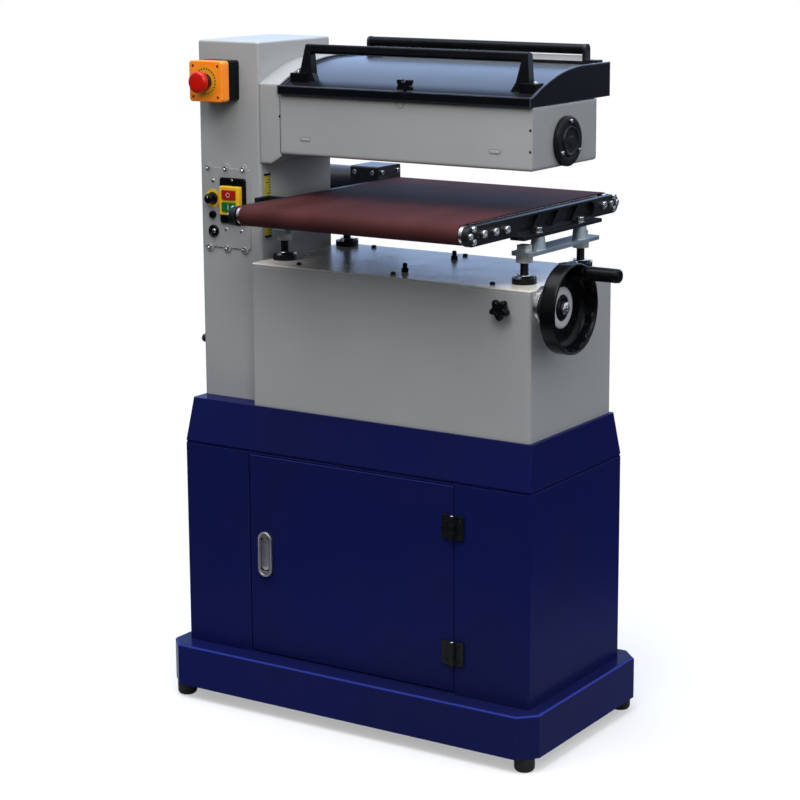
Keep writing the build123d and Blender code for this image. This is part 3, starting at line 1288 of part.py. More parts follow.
# Switch: a dark mounting plate with a bright bezel around the two push buttons.
switch_x = column_left + switch_x_in
switch_z = stand_top + switch_up
switch_face = panel_face - switch_t
bezel_face = switch_face - bezel_t
bezel_z = switch_z + bezel_up
stop_z = bezel_z + button_pitch / 2
start_z = bezel_z - button_pitch / 2
button_depth = bezel_t + button_proud - button_travel - part_gap
with BuildPart() as switch_body:
    with BuildSketch(Plane.XZ.offset(-panel_face)):
        with Locations((switch_x, switch_z)):
            RectangleRounded(switch_w, switch_h, switch_t)
    extrude(amount=switch_t)
    chamfer(switch_body.faces().sort_by(Axis.Y)[0].edges(), switch_t / 4)
switch_body.part.label = "switch_body"
export_step(switch_body.part, "parts/switch_body.step")

with BuildPart() as switch_bezel:
    with BuildSketch(Plane.XZ.offset(-switch_face)):
        with Locations((switch_x, bezel_z)):
            RectangleRounded(bezel_w, bezel_h, bezel_t / 4)
        with Locations((switch_x, stop_z), (switch_x, start_z)):
            Rectangle(button_w + 2 * part_gap, button_h + 2 * part_gap, mode=Mode.SUBTRACT)
    extrude(amount=bezel_t)
    chamfer(switch_bezel.faces().sort_by(Axis.Y)[0].outer_wire().edges(), bezel_t / 8)
switch_bezel.part.label = "switch_bezel"
export_step(switch_bezel.part, "parts/switch_bezel.step")


def build_push_button(button_z):
    with BuildPart() as button:
        with Locations((switch_x, bezel_face - button_proud, button_z)):
            Box(button_w, button_depth, button_h, align=(Align.CENTER, Align.MIN, Align.CENTER))
        fillet(button.faces().sort_by(Axis.Y)[0].edges(), button_proud / 3)
    return button


stop_button = build_push_button(stop_z)
stop_button.part.label = "stop_button"
export_step(stop_button.part, "parts/stop_button.step")
start_button = build_push_button(start_z)
start_button.part.label = "start_button"
export_step(start_button.part, "parts/start_button.step")

# Speed knob on its spindle through the panel.
with BuildPart() as speed_knob:
    with Locations((speed_x, panel_face - 2 * part_gap, speed_z)):
        Cylinder(speed_knob_r, speed_knob_t, rotation=(90, 0, 0),
                 align=(Align.CENTER, Align.CENTER, Align.MIN))
    chamfer(speed_knob.faces().sort_by(Axis.Y)[0].edges(), speed_knob_r / 8)
    with Locations((speed_x, panel_face - 3 * part_gap, speed_z)):
        Cylinder(speed_shaft_r, 6 * panel_t, rotation=(90, 0, 0),
                 align=(Align.CENTER, Align.CENTER, Align.MAX))
speed_knob.part.label = "speed_knob"
export_step(speed_knob.part, "parts/speed_knob.step")

# Reset button: a round push button held by a collar behind the panel.
with BuildPart() as reset_button:
    with Locations((speed_x, panel_face - reset_rest - reset_travel, reset_z)):
        Cylinder(reset_r, reset_rest + reset_travel + 2 * panel_t, rotation=(90, 0, 0),
                 align=(Align.CENTER, Align.CENTER, Align.MAX))
    fillet(reset_button.faces().sort_by(Axis.Y)[0].edges(), reset_r / 5)
    with Locations((speed_x, column_front + part_gap, reset_z)):
        Cylinder(reset_r + panel_t, panel_t, rotation=(90, 0, 0),
                 align=(Align.CENTER, Align.CENTER, Align.MAX))
reset_button.part.label = "reset_button"
export_step(reset_button.part, "parts/reset_button.step")

# Emergency stop: a box in two halves on the column's front, with a mushroom button in a collar.
estop_x = column_left + estop_x_in
estop_z = stand_top + estop_up
estop_seam = column_front - estop_base_d
estop_face = estop_seam - estop_lid_d
collar_face = estop_face - estop_collar_out
with BuildPart() as estop_base:
    with BuildSketch(Plane.XZ.offset(-column_front)):
        with Locations((estop_x, estop_z)):
            RectangleRounded(estop_w, estop_w, estop_edge)
    extrude(amount=estop_base_d)
    with Locations((estop_x, estop_seam, estop_z)):
        Box(estop_w - 2 * estop_edge, 2 * (estop_base_d - estop_edge), estop_w - 2 * estop_edge,
            mode=Mode.SUBTRACT)
estop_base.part.label = "estop_base"
export_step(estop_base.part, "parts/estop_base.step")

with BuildPart() as estop_lid:
    with BuildSketch(Plane.XZ.offset(-estop_seam)):
        with Locations((estop_x, estop_z)):
            RectangleRounded(estop_w, estop_w, estop_edge)
    extrude(amount=estop_lid_d)
    fillet(estop_lid.faces().sort_by(Axis.Y)[0].edges(), estop_edge / 3)
    with Locations((estop_x, estop_face, estop_z)):
        Cylinder(estop_collar_r, estop_collar_out, rotation=(90, 0, 0),
                 align=(Align.CENTER, Align.CENTER, Align.MIN))
        Cylinder(estop_stem_r + running_fit, 4 * estop_lid_d, rotation=(90, 0, 0), mode=Mode.SUBTRACT)
estop_lid.part.label = "estop_lid"
export_step(estop_lid.part, "parts/estop_lid.step")

with BuildPart() as estop_button:
    with Locations((estop_x, collar_face - estop_travel - part_gap, estop_z)):
        Cylinder(estop_cap_r, estop_cap_t, rotation=(90, 0, 0), align=(Align.CENTER, Align.CENTER, Align.MIN))
    fillet(estop_button.faces().sort_by(Axis.Y)[0].edges(), estop_cap_t / 2.5)
    with Locations((estop_x, collar_face - estop_travel - part_gap, estop_z)):
        Cylinder(estop_stem_r, estop_travel + estop_collar_out + estop_lid_d, rotation=(90, 0, 0),
                 align=(Align.CENTER, Align.CENTER, Align.MAX))
estop_button.part.label = "estop_button"
export_step(estop_button.part, "parts/estop_button.step")

# Frame screws: one size of cap screw holds the panel, the deck, the bushings and the bearing cap.
screw_seats = [Plane((x, panel_face, z), z_dir=(0, -1, 0)) for x, z in panel_screw_spots]
screw_seats += [Plane((x, y, deck_top), z_dir=(0, 0, 1)) for x, y in deck_screw_spots]
with BuildPart() as frame_screws:
    with Locations(*screw_seats):
        Cylinder(screw_head_r, screw_head_h, align=(Align.CENTER, Align.CENTER, Align.MIN))
        Cylinder(screw_r, screw_len, align=(Align.CENTER, Align.CENTER, Align.MAX))
    with Locations(*[(x, y, deck_top + bushing_t) for x, y in posts]):
        with PolarLocations(bushing_screw_circle, 3, start_angle=30):
            Cylinder(screw_head_r, screw_head_h, align=(Align.CENTER, Align.CENTER, Align.MIN))
            Cylinder(screw_r, screw_len, align=(Align.CENTER, Align.CENTER, Align.MAX))
    with Locations(Plane((head_right + bearing_cap_t, drum_y, drum_z), x_dir=(0, 1, 0), z_dir=(1, 0, 0))):
        with PolarLocations(cap_screw_circle, 3, start_angle=90):
            Cylinder(screw_head_r, screw_head_h, align=(Align.CENTER, Align.CENTER, Align.MIN))
            Cylinder(screw_r, screw_len, align=(Align.CENTER, Align.CENTER, Align.MAX))
frame_screws.part.label = "frame_screws"
export_step(frame_screws.part, "parts/frame_screws.step")
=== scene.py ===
import bpy
import numpy as np
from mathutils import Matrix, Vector


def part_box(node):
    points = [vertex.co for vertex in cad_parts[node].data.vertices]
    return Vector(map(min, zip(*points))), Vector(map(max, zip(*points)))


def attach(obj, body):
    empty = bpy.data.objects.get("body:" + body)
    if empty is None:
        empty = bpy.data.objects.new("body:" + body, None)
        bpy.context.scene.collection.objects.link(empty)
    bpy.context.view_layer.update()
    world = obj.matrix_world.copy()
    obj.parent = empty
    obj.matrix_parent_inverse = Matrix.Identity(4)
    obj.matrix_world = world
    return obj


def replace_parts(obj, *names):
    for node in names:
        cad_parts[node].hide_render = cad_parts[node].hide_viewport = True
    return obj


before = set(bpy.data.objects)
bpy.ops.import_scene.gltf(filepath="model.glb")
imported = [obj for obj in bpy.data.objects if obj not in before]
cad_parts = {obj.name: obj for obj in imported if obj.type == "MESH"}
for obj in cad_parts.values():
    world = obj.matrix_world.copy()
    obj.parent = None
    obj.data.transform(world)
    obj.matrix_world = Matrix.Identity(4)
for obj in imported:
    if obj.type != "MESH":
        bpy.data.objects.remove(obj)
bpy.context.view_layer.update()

# Stand: plinth, cabinet, door and tapered cap, folded from steel sheet, welded, and sprayed with a deep navy
# gloss enamel. It shows faint orange peel, a slow drift between two blues and soft folded edges. The edges
# are painted a lighter blue, partly as wear and partly as a painted highlight, and lighter still, as a
# painted highlight, where they roll upwards.
stand_navy = (19, 24, 77)
stand_navy_drift = (22, 26, 69)
# Edge colour: partly wear, partly a painted highlight. The lighter blue after it is a painted highlight on
# edges that roll upwards.
stand_edge = (30, 37, 98)
stand_painted_highlight = (42, 54, 134)


class Wire:
    """One socket of a material. Arithmetic on wires adds Math nodes, and node() adds any other node."""

    def __init__(self, tree, socket):
        self.tree = tree
        self.socket = socket

    def node(self, kind, settings, sockets, out=0):
        """A node of that kind: its settings first, then a value or a wire on each of its sockets."""
        made = self.tree.nodes.new("ShaderNode" + kind)
        for name, value in settings.items():
            setattr(made, name, value)
        for key, value in sockets.items():
            if isinstance(value, Wire):
                self.tree.links.new(value.socket, made.inputs[key])
            else:
                made.inputs[key].default_value = value
        return Wire(self.tree, made.outputs[out])

    def axis(self, name):
        """The X, Y or Z of a vector."""
        return self.node("SeparateXYZ", {}, {0: self}, out=name)

    def dot(self, other):
        """The dot product with another vector."""
        return self.node("VectorMath", {"operation": "DOT_PRODUCT"}, {0: self, 1: other}, out="Value")

    def maths(self, operation, *terms):
        """A Math node of that operation on those terms."""
        return self.node("Math", {"operation": operation}, dict(enumerate(terms)))

    def __add__(self, other):
        return self.maths("ADD", self, other)

    def __sub__(self, other):
        return self.maths("SUBTRACT", self, other)

    def __rsub__(self, other):
        return self.maths("SUBTRACT", other, self)

    def __mul__(self, other):
        return self.maths("MULTIPLY", self, other)

    def __truediv__(self, other):
        return self.maths("DIVIDE", self, other)

    def __gt__(self, other):
        return self.maths("GREATER_THAN", self, other)

    def __lt__(self, other):
        return self.maths("LESS_THAN", self, other)

    __radd__ = __add__
    __rmul__ = __mul__


def new_finish(name, **constants):
    """A material with its constant sockets set, its shader, and a wire of Object coordinates."""
    made = bpy.data.materials.new(name)
    made.use_nodes = True
    tree = made.node_tree
    shader = tree.nodes["Principled BSDF"]
    for socket, value in constants.items():
        shader.inputs[socket.replace("_", " ")].default_value = value
    return made, shader, Wire(tree, tree.nodes.new("ShaderNodeTexCoord").outputs["Object"])


def wire_up(shader, **wires):
    """Links each wire to the shader's socket of that name."""
    for socket, wire in wires.items():
        wire.tree.links.new(wire.socket, shader.inputs[socket.replace("_", " ")])


def linear(red, green, blue):
    """A colour written as 0 to 255 display values, as linear light with alpha."""
    share = np.array([red, green, blue]) / 255
    light = np.where(share <= 0.04045, share / 12.92, ((share + 0.055) / 1.055) ** 2.4)
    return (*light.tolist(), 1.0)


def cloud(at, scale, detail=2.0, stretch=(1.0, 1.0, 1.0)):
    """Noise from 0 to 1 with scale blots to the metre, that many times finer along X, Y and Z."""
    if stretch != (1.0, 1.0, 1.0):
        at = at.node("Mapping", {}, {"Vector": at, "Scale": stretch})
    return at.node("TexNoise", {}, {"Vector": at, "Scale": scale, "Detail": detail})


def ramp(value, low, high, start=0.0, end=1.0):
    """A smooth step of value from low to high, as start to end."""
    return value.node("MapRange", {"interpolation_type": "SMOOTHSTEP"},
                      {0: value, 1: low, 2: high, 3: start, 4: end})


def tint(share, *colours):
    """The colour that goes from the first to the second as share goes from 0 to 1. Each is a wire, or is
    written as 0 to 255 display values."""
    first, second = (linear(*colour) if isinstance(colour, tuple) else colour for colour in colours)
    return share.node("Mix", {"data_type": "RGBA"}, {0: share, 6: first, 7: second}, out=2)


def facing(at):
    """The flat normal of each face."""
    return at.node("NewGeometry", {}, {}, out="True Normal")


def rolled(at, radius):
    """The normal of edges that look rounded to that radius."""
    return at.node("Bevel", {"samples": 4}, {"Radius": radius})


def relief(height, depth, edge):
    """The normal of a bump, depth metres from 0 to 1, on edges that look rounded to that radius."""
    return height.node("Bump", {}, {"Distance": depth, "Height": height, "Normal": rolled(height, edge)})


def enamel(name, colour, drift, edge_rub_and_highlight, gloss, peel, shine=0.5, edge=0.0015, fold=None, painted_highlight=None):
    """Sprayed paint: colour and drift mixed by slow clouds, and an edge colour where a rounded edge leaves
    its face's normal, patched by clouds, which is partly wear and partly a painted highlight. Where an edge
    is rolled upwards, a painted highlight colour is laid over it. Gloss is varied by finer clouds, with the
    ripple of orange peel, peel metres deep. Edges look rounded to the fold's radius, or else to edge."""
    made, shader, at = new_finish(name, Specular_IOR_Level=shine)
    face = facing(at)
    # Share of the edge colour where a rounded edge leaves its face's normal, patched by clouds: partly wear,
    # partly a painted highlight.
    edge_rub_and_highlight_share = ramp(rolled(at, edge).dot(face), 0.99, 0.86) * ramp(cloud(at, 40.0, 3.0), 0.2, 0.6, 0.5, 1.0)
    tone = tint(edge_rub_and_highlight_share, tint(ramp(cloud(at, 3.5, 3.0), 0.3, 0.7), colour, drift), edge_rub_and_highlight)
    if painted_highlight:
        # Painted highlight on faces that slope upwards, where an edge rolls up.
        rise = face.axis("Z")
        tone = tint(ramp(rise, 0.35, 0.6) * ramp(rise, 0.99, 0.94), tone, painted_highlight)
    sheen = ramp(cloud(at, 14.0, 4.0), 0.3, 0.75, -0.015, 0.025) + gloss
    ripple = relief(cloud(at, 420.0, 1.5), peel, fold or edge)
    wire_up(shader, Base_Color=tone, Roughness=sheen, Normal=ripple)
    return made


def dress(material, *nodes):
    """Gives that material to the CAD nodes of those names."""
    for node in nodes:
        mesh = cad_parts[node].data
        mesh.materials.clear()
        mesh.materials.append(material)


stand_blue = enamel("stand_blue_enamel", stand_navy, stand_navy_drift, stand_edge, 0.2, 0.00004,
                    shine=0.016, edge=0.0025, painted_highlight=stand_painted_highlight)
dress(stand_blue, "plinth", "cabinet_shell", "cabinet_cap", "cabinet_door")

# Rubber feet: four moulded rubber pucks with a rounded toe, black and a little dusty. Each is on a stud
# that goes up through the plinth's flange.
MM = 0.001
UP = (0, 0, 1)
foot_r = 19
foot_toe = 4.5
foot_stud_r = 5


def rubber(name, colour, dust, grain, start, gloss, depth, edge):
    """Rubber under dust: the colour goes to dust where clouds of grain blots to the metre pass start, and
    the same clouds give the gloss and a bump, depth metres deep."""
    made, shader, at = new_finish(name, Specular_IOR_Level=0.3)
    blots = cloud(at, grain, 4.0)
    wire_up(shader, Base_Color=tint(ramp(blots, start, start + 0.4), colour, dust),
            Roughness=blots * 0.2 + gloss, Normal=relief(blots, depth, edge))
    return made


def node_box(node):
    """The lowest corner, the highest corner and the middle of a CAD node, in millimetres."""
    low, high = (np.array(corner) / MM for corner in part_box(node))
    return low, high, (low + high) / 2


def corner_spots(low, high, inset):
    """The X and Y of four places, inset from the corners of a box."""
    return [(x, y) for x in (low[0] + inset, high[0] - inset) for y in (low[1] + inset, high[1] - inset)]


def rounded(width, height, steps=13):
    """Core points and outward normals of a rectangle that is to be rounded by some radius, four quarter
    turns one after the other. With no width and height it is a circle."""
    quarter = np.arange(4)[:, None] * np.pi / 2 + np.linspace(0, np.pi / 2, steps)
    normal = np.stack([np.cos(quarter), np.sin(quarter)], -1).reshape(-1, 2)
    side = np.array([(1, 1), (-1, 1), (-1, -1), (1, -1)]) * (width / 2, height / 2)
    core = np.repeat(side, steps, axis=0)
    return np.vstack([core, core[:1]]), np.vstack([normal, normal[:1]])


def soften(points, cut, steps=5):
    """A profile whose inner corners become parabolas that leave each corner by cut, or by just under half
    of the shorter side."""
    points = np.array(points, float)
    corner = points[1:-1, None]
    before = points[:-2, None] - corner
    after = points[2:, None] - corner
    start = corner + before * np.minimum(cut / np.linalg.norm(before, axis=2, keepdims=True), 0.48)
    end = corner + after * np.minimum(cut / np.linalg.norm(after, axis=2, keepdims=True), 0.48)
    along = np.linspace(0, 1, steps)[None, :, None]
    bend = start * (1 - along) ** 2 + corner * 2 * along * (1 - along) + end * along ** 2
    return np.vstack([points[:1], bend.reshape(-1, 2), points[-1:]])


def carried(outline, profile, origin, axis):
    """The grid of a profile carried round an outline. Each profile row is a level along the axis and a
    reach along the outline's normals. An open profile closes on the axis at both ends."""
    core, normal = outline
    level, reach = np.array(profile, float).T
    flat = core + normal * reach[:, None, None]
    if not np.allclose(profile[0], profile[-1]):
        flat = np.concatenate([flat[:1] * 0, flat, flat[-1:] * 0])
        level = np.concatenate([level[:1], level, level[-1:]])
    axis = np.array(axis, float)
    up = np.array([0.0, 1.0, 0.0]) if abs(axis[2]) > 0.5 else np.array([0.0, 0.0, 1.0])
    across = np.cross(up, axis)
    return np.array(origin) + flat[..., :1] * across + flat[..., 1:] * up + level[:, None, None] * axis


def new_piece(name, grids, material, body, sharp=40):
    """One object of grids of points in millimetres. Points that coincide are welded, which closes seams
    and poles, and edges sharper than that many degrees stay sharp."""
    sizes = [grid.shape[0] * grid.shape[1] for grid in grids]
    starts = np.cumsum([0] + sizes)
    points = np.concatenate([grid.reshape(-1, 3) for grid in grids]) * MM
    index = [np.arange(size).reshape(grid.shape[:2]) + start
             for grid, size, start in zip(grids, sizes, starts)]
    quads = np.concatenate([
        np.stack([at[:-1, :-1], at[:-1, 1:], at[1:, 1:], at[1:, :-1]], -1).reshape(-1, 4) for at in index])
    first, weld = np.unique(np.round(points, 7), axis=0, return_index=True, return_inverse=True)[1:]
    quads = weld.reshape(-1)[quads]
    twin = quads == np.roll(quads, -1, axis=1)
    single = twin.sum(axis=1) == 1
    triangles = quads[single][~twin[single]].reshape(-1, 3)
    mesh = bpy.data.meshes.new(name)
    mesh.from_pydata(points[first].tolist(), [], quads[~twin.any(axis=1)].tolist() + triangles.tolist())
    mesh.materials.append(material)
    mesh.shade_smooth()
    mesh.set_sharp_from_angle(angle=np.radians(sharp))
    piece = bpy.data.objects.new(name, mesh)
    bpy.context.scene.collection.objects.link(piece)
    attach(piece, body)
    return piece


foot_rubber = rubber("foot_rubber", (14, 14, 15), (34, 33, 32), 160.0, 0.45, 0.6, 0.0003, 0.002)
circle = rounded(0, 0)
feet_low, feet_high, _ = node_box("rubber_feet")
foot_h = node_box("plinth")[0][2]
foot_profile = soften([
    (0, foot_r - foot_toe - 1), (0, foot_r - foot_toe), (foot_toe, foot_r - 0.5), (foot_h, foot_r),
    (foot_h, foot_stud_r), (feet_high[2], foot_stud_r)], 2)
foot_spots = corner_spots(feet_low, feet_high, foot_r)
rubber_feet = [carried(circle, foot_profile, (x, y, 0), UP) for x, y in foot_spots]
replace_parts(new_piece("rubber_feet_moulded", rubber_feet, foot_rubber, "frame"), "rubber_feet")

# Door hinges: black lift-off hinges of two leaves round a steel pin, each leaf held by two dark domed
# screws. The pin's bright domed end shows above each knuckle.
FRONT = (0, -1, 0)
hinge_h = 44
hinge_knuckle_r = 6
hinge_leaf_front = 4
hinge_pin_end = (3.6, 1.8)
hinge_screw = (3.2, 0.9)
hinge_screw_out = 14
hinge_screw_up = 13


def domed(size, origin, axis, steps=9):
    """A domed head of that radius and height: a quarter ellipse from its edge to its top, carried round."""
    radius, height = size
    turn = np.linspace(0, np.pi / 2, steps)[:-1]
    return carried(circle, np.stack([np.sin(turn) * height, np.cos(turn) * radius], 1), origin, axis)


def metal(name, colour, drift, gloss, stretch, scratch, bare=1.0, edge=0.0006):
    """Bare or plated metal, less bare where a dull plating covers it: two tones, and fine scratches drawn
    out along the way it was worked."""
    made, shader, at = new_finish(name, Metallic=bare)
    lines = cloud(at, 90.0, 4.0, stretch)
    wire_up(shader, Base_Color=tint(ramp(cloud(at, 25.0, 3.0), 0.3, 0.75), colour, drift),
            Roughness=lines * 0.18 + (gloss - 0.09), Normal=relief(lines, scratch, edge))
    return made


# The third colour is the edge colour: partly wear, partly a painted highlight.
satin_black = enamel("satin_black_paint", (13, 14, 17), (19, 20, 23), (36, 38, 42), 0.34, 0.0001,
                     shine=0.14, edge=0.0012)
bright_steel = metal("bright_steel", (214, 216, 218), (188, 190, 194), 0.26, (1.0, 12.0, 12.0), 0.00003)
black_oxide = metal("black_oxide_steel", (44, 45, 48), (30, 31, 34), 0.36, (6.0, 6.0, 6.0), 0.00003)
dress(satin_black, "door_hinges", "hinge_door_leaves")
hinge_low, hinge_high, _ = node_box("door_hinges")
hinge_x, hinge_y = hinge_low[:2] + hinge_knuckle_r
hinge_front = hinge_high[1] - hinge_leaf_front
hinge_tops = (hinge_low[2] + hinge_h, hinge_high[2])
pin_ends = [domed(hinge_pin_end, (hinge_x, hinge_y, top), UP) for top in hinge_tops]
new_piece("hinge_pin_ends", pin_ends, bright_steel, "frame")
for body, side in (("door", -1), ("frame", 1)):
    leaf_x = hinge_x + side * hinge_screw_out
    leaf_screws = [
        domed(hinge_screw, (leaf_x, hinge_front, top - hinge_h / 2 + up), FRONT)
        for top in hinge_tops for up in (-hinge_screw_up, hinge_screw_up)]
    new_piece("hinge_screws_" + body, leaf_screws, black_oxide, body)

# Door latch: a satin chrome slot-shaped plate with a raised rim, and a sprung paddle in its window. The
# paddle is a crowned tongue with round ends, pressed from the same plate and hung on a pin at its foot.
BACK = (0, 1, 0)
latch_rim_r = 2.2
paddle_w = 17
paddle_crown = 1.4
paddle_edge = 0.8


def face_of(node, axis):
    """The middle of the face that a node's box has on the side of that axis."""
    low, high, mid = node_box(node)
    return mid + (high - low) / 2 * np.array(axis)


chrome = metal("satin_chrome", (164, 164, 169), (138, 139, 145), 0.34, (6.0, 6.0, 1.0), 0.00002)
dress(chrome, "latch_plate")
latch_low, latch_high, _ = node_box("latch_plate")
latch_w = latch_high[0] - latch_low[0]
latch_h = latch_high[2] - latch_low[2]
rim_turn = np.linspace(0, -2 * np.pi, 13)
rim_reach = np.sin(rim_turn) * latch_rim_r + latch_w / 2 - latch_rim_r
rim_profile = np.stack([np.cos(rim_turn) * latch_rim_r, rim_reach], 1)
latch_rim = carried(rounded(0, latch_h - latch_w), rim_profile, face_of("latch_plate", FRONT), FRONT)
new_piece("latch_rim", [latch_rim], chrome, "door")
paddle_low, paddle_high, _ = node_box("latch_paddle")
paddle_h = paddle_high[2] - paddle_low[2]
paddle_t = paddle_high[1] - paddle_low[1]
paddle_reach = np.linspace(paddle_w / 2, 0.5, 7)
paddle_level = paddle_t - paddle_edge + paddle_crown * (1 - (2 * paddle_reach / paddle_w) ** 2)
paddle_profile = np.vstack([[(0, paddle_w / 2)], np.stack([paddle_level, paddle_reach], 1)])
latch_paddle = carried(rounded(0, paddle_h - paddle_w), paddle_profile, face_of("latch_paddle", BACK), FRONT)
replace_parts(new_piece("latch_paddle_crowned", [latch_paddle], chrome, "paddle"), "latch_paddle")

# Lift housing and its top plate: folded steel boxes in light grey enamel. The plate's top face is glossier,
# and it is painted lighter and warmer than its grey sides as painted light. The plate is held by black
# socket screws, with two black studs with nuts near its middle.
housing_tone = (162, 164, 165)
housing_drift = (156, 158, 159)
deck_screw = (4.8, 5)
deck_screw_inset = 26
deck_screw_side = 92
deck_stud = [(0, 4.2), (15, 4.2), (16, 3.2)]
deck_stud_y = 85
deck_nut = [(0, 6.264), (6, 6.264), (7, 5.394)]


def opened(material):
    """The shader of a finished material, the wire of its colour, and a wire of Object coordinates."""
    tree = material.node_tree
    shader = tree.nodes["Principled BSDF"]
    paint = Wire(tree, shader.inputs["Base Color"].links[0].from_socket)
    return shader, paint, Wire(tree, tree.nodes["Texture Coordinate"].outputs["Object"])


def about_axis(normal):
    """An outline whose points lie on the axis and move out along those normals."""
    return normal * 0, normal


def socket_head(size, origin, axis):
    """A cap screw's head: a short cylinder with a rounded edge and a hexagon socket sunk in its top."""
    radius, height = size
    edge = radius / 6
    socket = radius * 0.56
    profile = [(0, radius), (height - edge, radius), (height - edge / 4, radius - edge / 4),
               (height, radius - edge), (height, socket), (height / 3, socket)]
    return carried(about_axis(np.stack([round_edge] * 4 + [hexagon_edge] * 2)), profile, origin, axis)


# The third colour is the edge colour: partly wear, partly a painted highlight.
machine_grey = enamel("machine_grey_enamel", housing_tone, housing_drift, (198, 200, 202), 0.3, 0.00005,
                      shine=0.45, edge=0.002)
dress(machine_grey, "lift_housing")
# The third colour is the edge colour: partly wear, partly a painted highlight.
deck_grey = enamel("deck_grey_enamel", (214, 208, 198), (206, 200, 191), (226, 222, 216), 0.26, 0.00003)
deck_shader, deck_paint, deck_at = opened(deck_grey)
# Painted light: the top face takes the lighter, warmer deck colour and the sides the housing's grey, so the
# top reads as lit.
deck_top_painted_light = ramp(facing(deck_at).axis("Z"), 0.3, 0.8)
wire_up(deck_shader, Base_Color=tint(deck_top_painted_light, housing_tone, deck_paint))
dress(deck_grey, "housing_top_plate")
whole_turn = np.linspace(0, 2 * np.pi, 49)
round_edge = np.stack([np.cos(whole_turn), np.sin(whole_turn)], 1)
hexagon_edge = round_edge / np.cos(whole_turn % (np.pi / 3) - np.pi / 6)[:, None]
hexagon = about_axis(hexagon_edge)
deck_low, deck_high, deck_mid = node_box("housing_top_plate")
deck_top = deck_high[2]
deck_pitch = (deck_high[0] - deck_low[0]) / 2 - deck_screw_side
deck_screw_y = deck_high[1] - deck_screw_inset
deck_screws = [
    socket_head(deck_screw, (deck_mid[0] + across * deck_pitch, along * deck_screw_y, deck_top), UP)
    for across in (-1, 0, 1) for along in (-1, 1)]
for along in (-1, 1):
    stud_at = (deck_mid[0], along * deck_stud_y, deck_top)
    deck_screws += [carried(circle, deck_stud, stud_at, UP), carried(hexagon, deck_nut, stud_at, UP)]
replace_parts(new_piece("deck_screws", deck_screws, black_oxide, "frame"), "frame_screws")

# Lift posts: four black lead screws that come up through flanged bushings bolted to the plate, each with
# three bright socket screws and a bright wiper ring. Nuts and a roller chain turn under the plate.
post_r = 7.5
post_pitch = 4
post_depth = 0.5
post_sides = 24
post_rows_per_mm = 2
bushing_t = 10
bushing_boss_h = 4
bushing_boss_r = 13
bushing_screw = (4.2, 4.2)
bushing_screw_gap = 0.6
wiper_t = 1.2
wiper_gap = 0.3


def ring(inner, outer, height, level=0, bevel=0):
    """The closed profile of a flat ring that starts at a level, its upper outer edge bevelled."""
    top = level + height
    return [(level, inner), (level, outer), (top, outer - bevel), (top, inner), (level, inner)]


def around(radius, *degrees):
    """The offsets of places on a circle of that radius, at those degrees."""
    turn = np.radians(degrees)
    return np.stack([np.cos(turn), np.sin(turn)], 1) * radius


# The third colour is the edge colour: partly wear, partly a painted highlight.
cast_black = enamel("cast_black_paint", (14, 15, 17), (20, 21, 23), (50, 53, 58), 0.36, 0.0003,
                    shine=0.16, edge=0.001)
dress(cast_black, "lift_bushings")
dress(bright_steel, "lift_nut_front_left", "lift_nut_front_right", "lift_nut_rear_left",
      "lift_nut_rear_right")
post_low, post_high, _ = node_box("lead_screws")
post_spots = corner_spots(post_low, post_high, post_r)
post_level = np.linspace(post_low[2], post_high[2], int((post_high[2] - post_low[2]) * post_rows_per_mm))
post_share = np.linspace(0, 1, post_sides + 1)
thread = (post_level[:, None] / post_pitch - post_share) % 1
thread_r = post_r - post_depth * np.abs(2 * thread - 1)
post_turn = post_share * 2 * np.pi
post_normal = np.stack([np.cos(post_turn) * thread_r, np.sin(post_turn) * thread_r], -1)
post_rows = np.stack([post_level, np.ones_like(post_level)], 1)
lead_screws = [carried(about_axis(post_normal), post_rows, (x, y, 0), UP) for x, y in post_spots]
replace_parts(new_piece("lead_screws_threaded", lead_screws, black_oxide, "table"), "lead_screws")
wiper = ring(post_r + wiper_gap, bushing_boss_r - 1, wiper_t, bushing_t + bushing_boss_h, bevel=1)
post_wipers = [carried(circle, wiper, (x, y, deck_top), UP) for x, y in post_spots]
new_piece("post_wipers", post_wipers, bright_steel, "frame")
bushing_circle = around(bushing_boss_r + bushing_screw[0] + bushing_screw_gap, 30, 150, 270)
bushing_screws = [
    socket_head(bushing_screw, (x + across, y + along, deck_top + bushing_t), UP)
    for x, y in post_spots for across, along in bushing_circle]
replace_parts(new_piece("bushing_screws", bushing_screws, bright_steel, "frame"), "frame_screws")
chain_steel, chain_shader, chain_at = new_finish("roller_chain", Metallic=1.0, Roughness=0.4)
chain_step = chain_at.node("TexWave", {"wave_profile": "TRI"}, {"Vector": chain_at, "Scale": 40.0})
wire_up(chain_shader, Base_Color=tint(ramp(chain_step, 0.3, 0.6), (60, 58, 54), (150, 146, 138)),
        Normal=relief(chain_step, 0.0008, 0.0005))
dress(chain_steel, "lift_chain")

# Handwheel: a black moulded wheel with a dished face and ribs inside its rim, a graduated grey dial round
# its hub, a dark washer under a bright nut, and a bright flange that carries the shaft in the housing.
RIGHT = (1, 0, 0)
wheel_rim_d = 30
wheel_web_t = 6
wheel_web_r = 56
wheel_hub_r = 21
wheel_hub_front = 3.5
wheel_bore_r = 8
wheel_ribs = 16
rib_depth = 2.5
rib_steepness = 3
rib_foot = 12
rib_top = 25
bowl_floor = 0.5
dial_profile = ring(23.5, 36.5, 1.4, bowl_floor, bevel=1)
dial_tick_r = 31.5
dial_ticks = 60
dial_tick_share = 0.22
washer_profile = ring(7.5, 12.6, 1.6, wheel_hub_front, bevel=0.6)
hub_nut_seat = 1
hub_nut_t = 6.5
hub_nut_r = 10.2
shaft_stub = [(0, 5.2), (2.4, 5.2), (3.2, 4.4)]
grip_boss_r = 13
grip_pin_r = 4
grip_pin_len = 9
grip_gap = 2


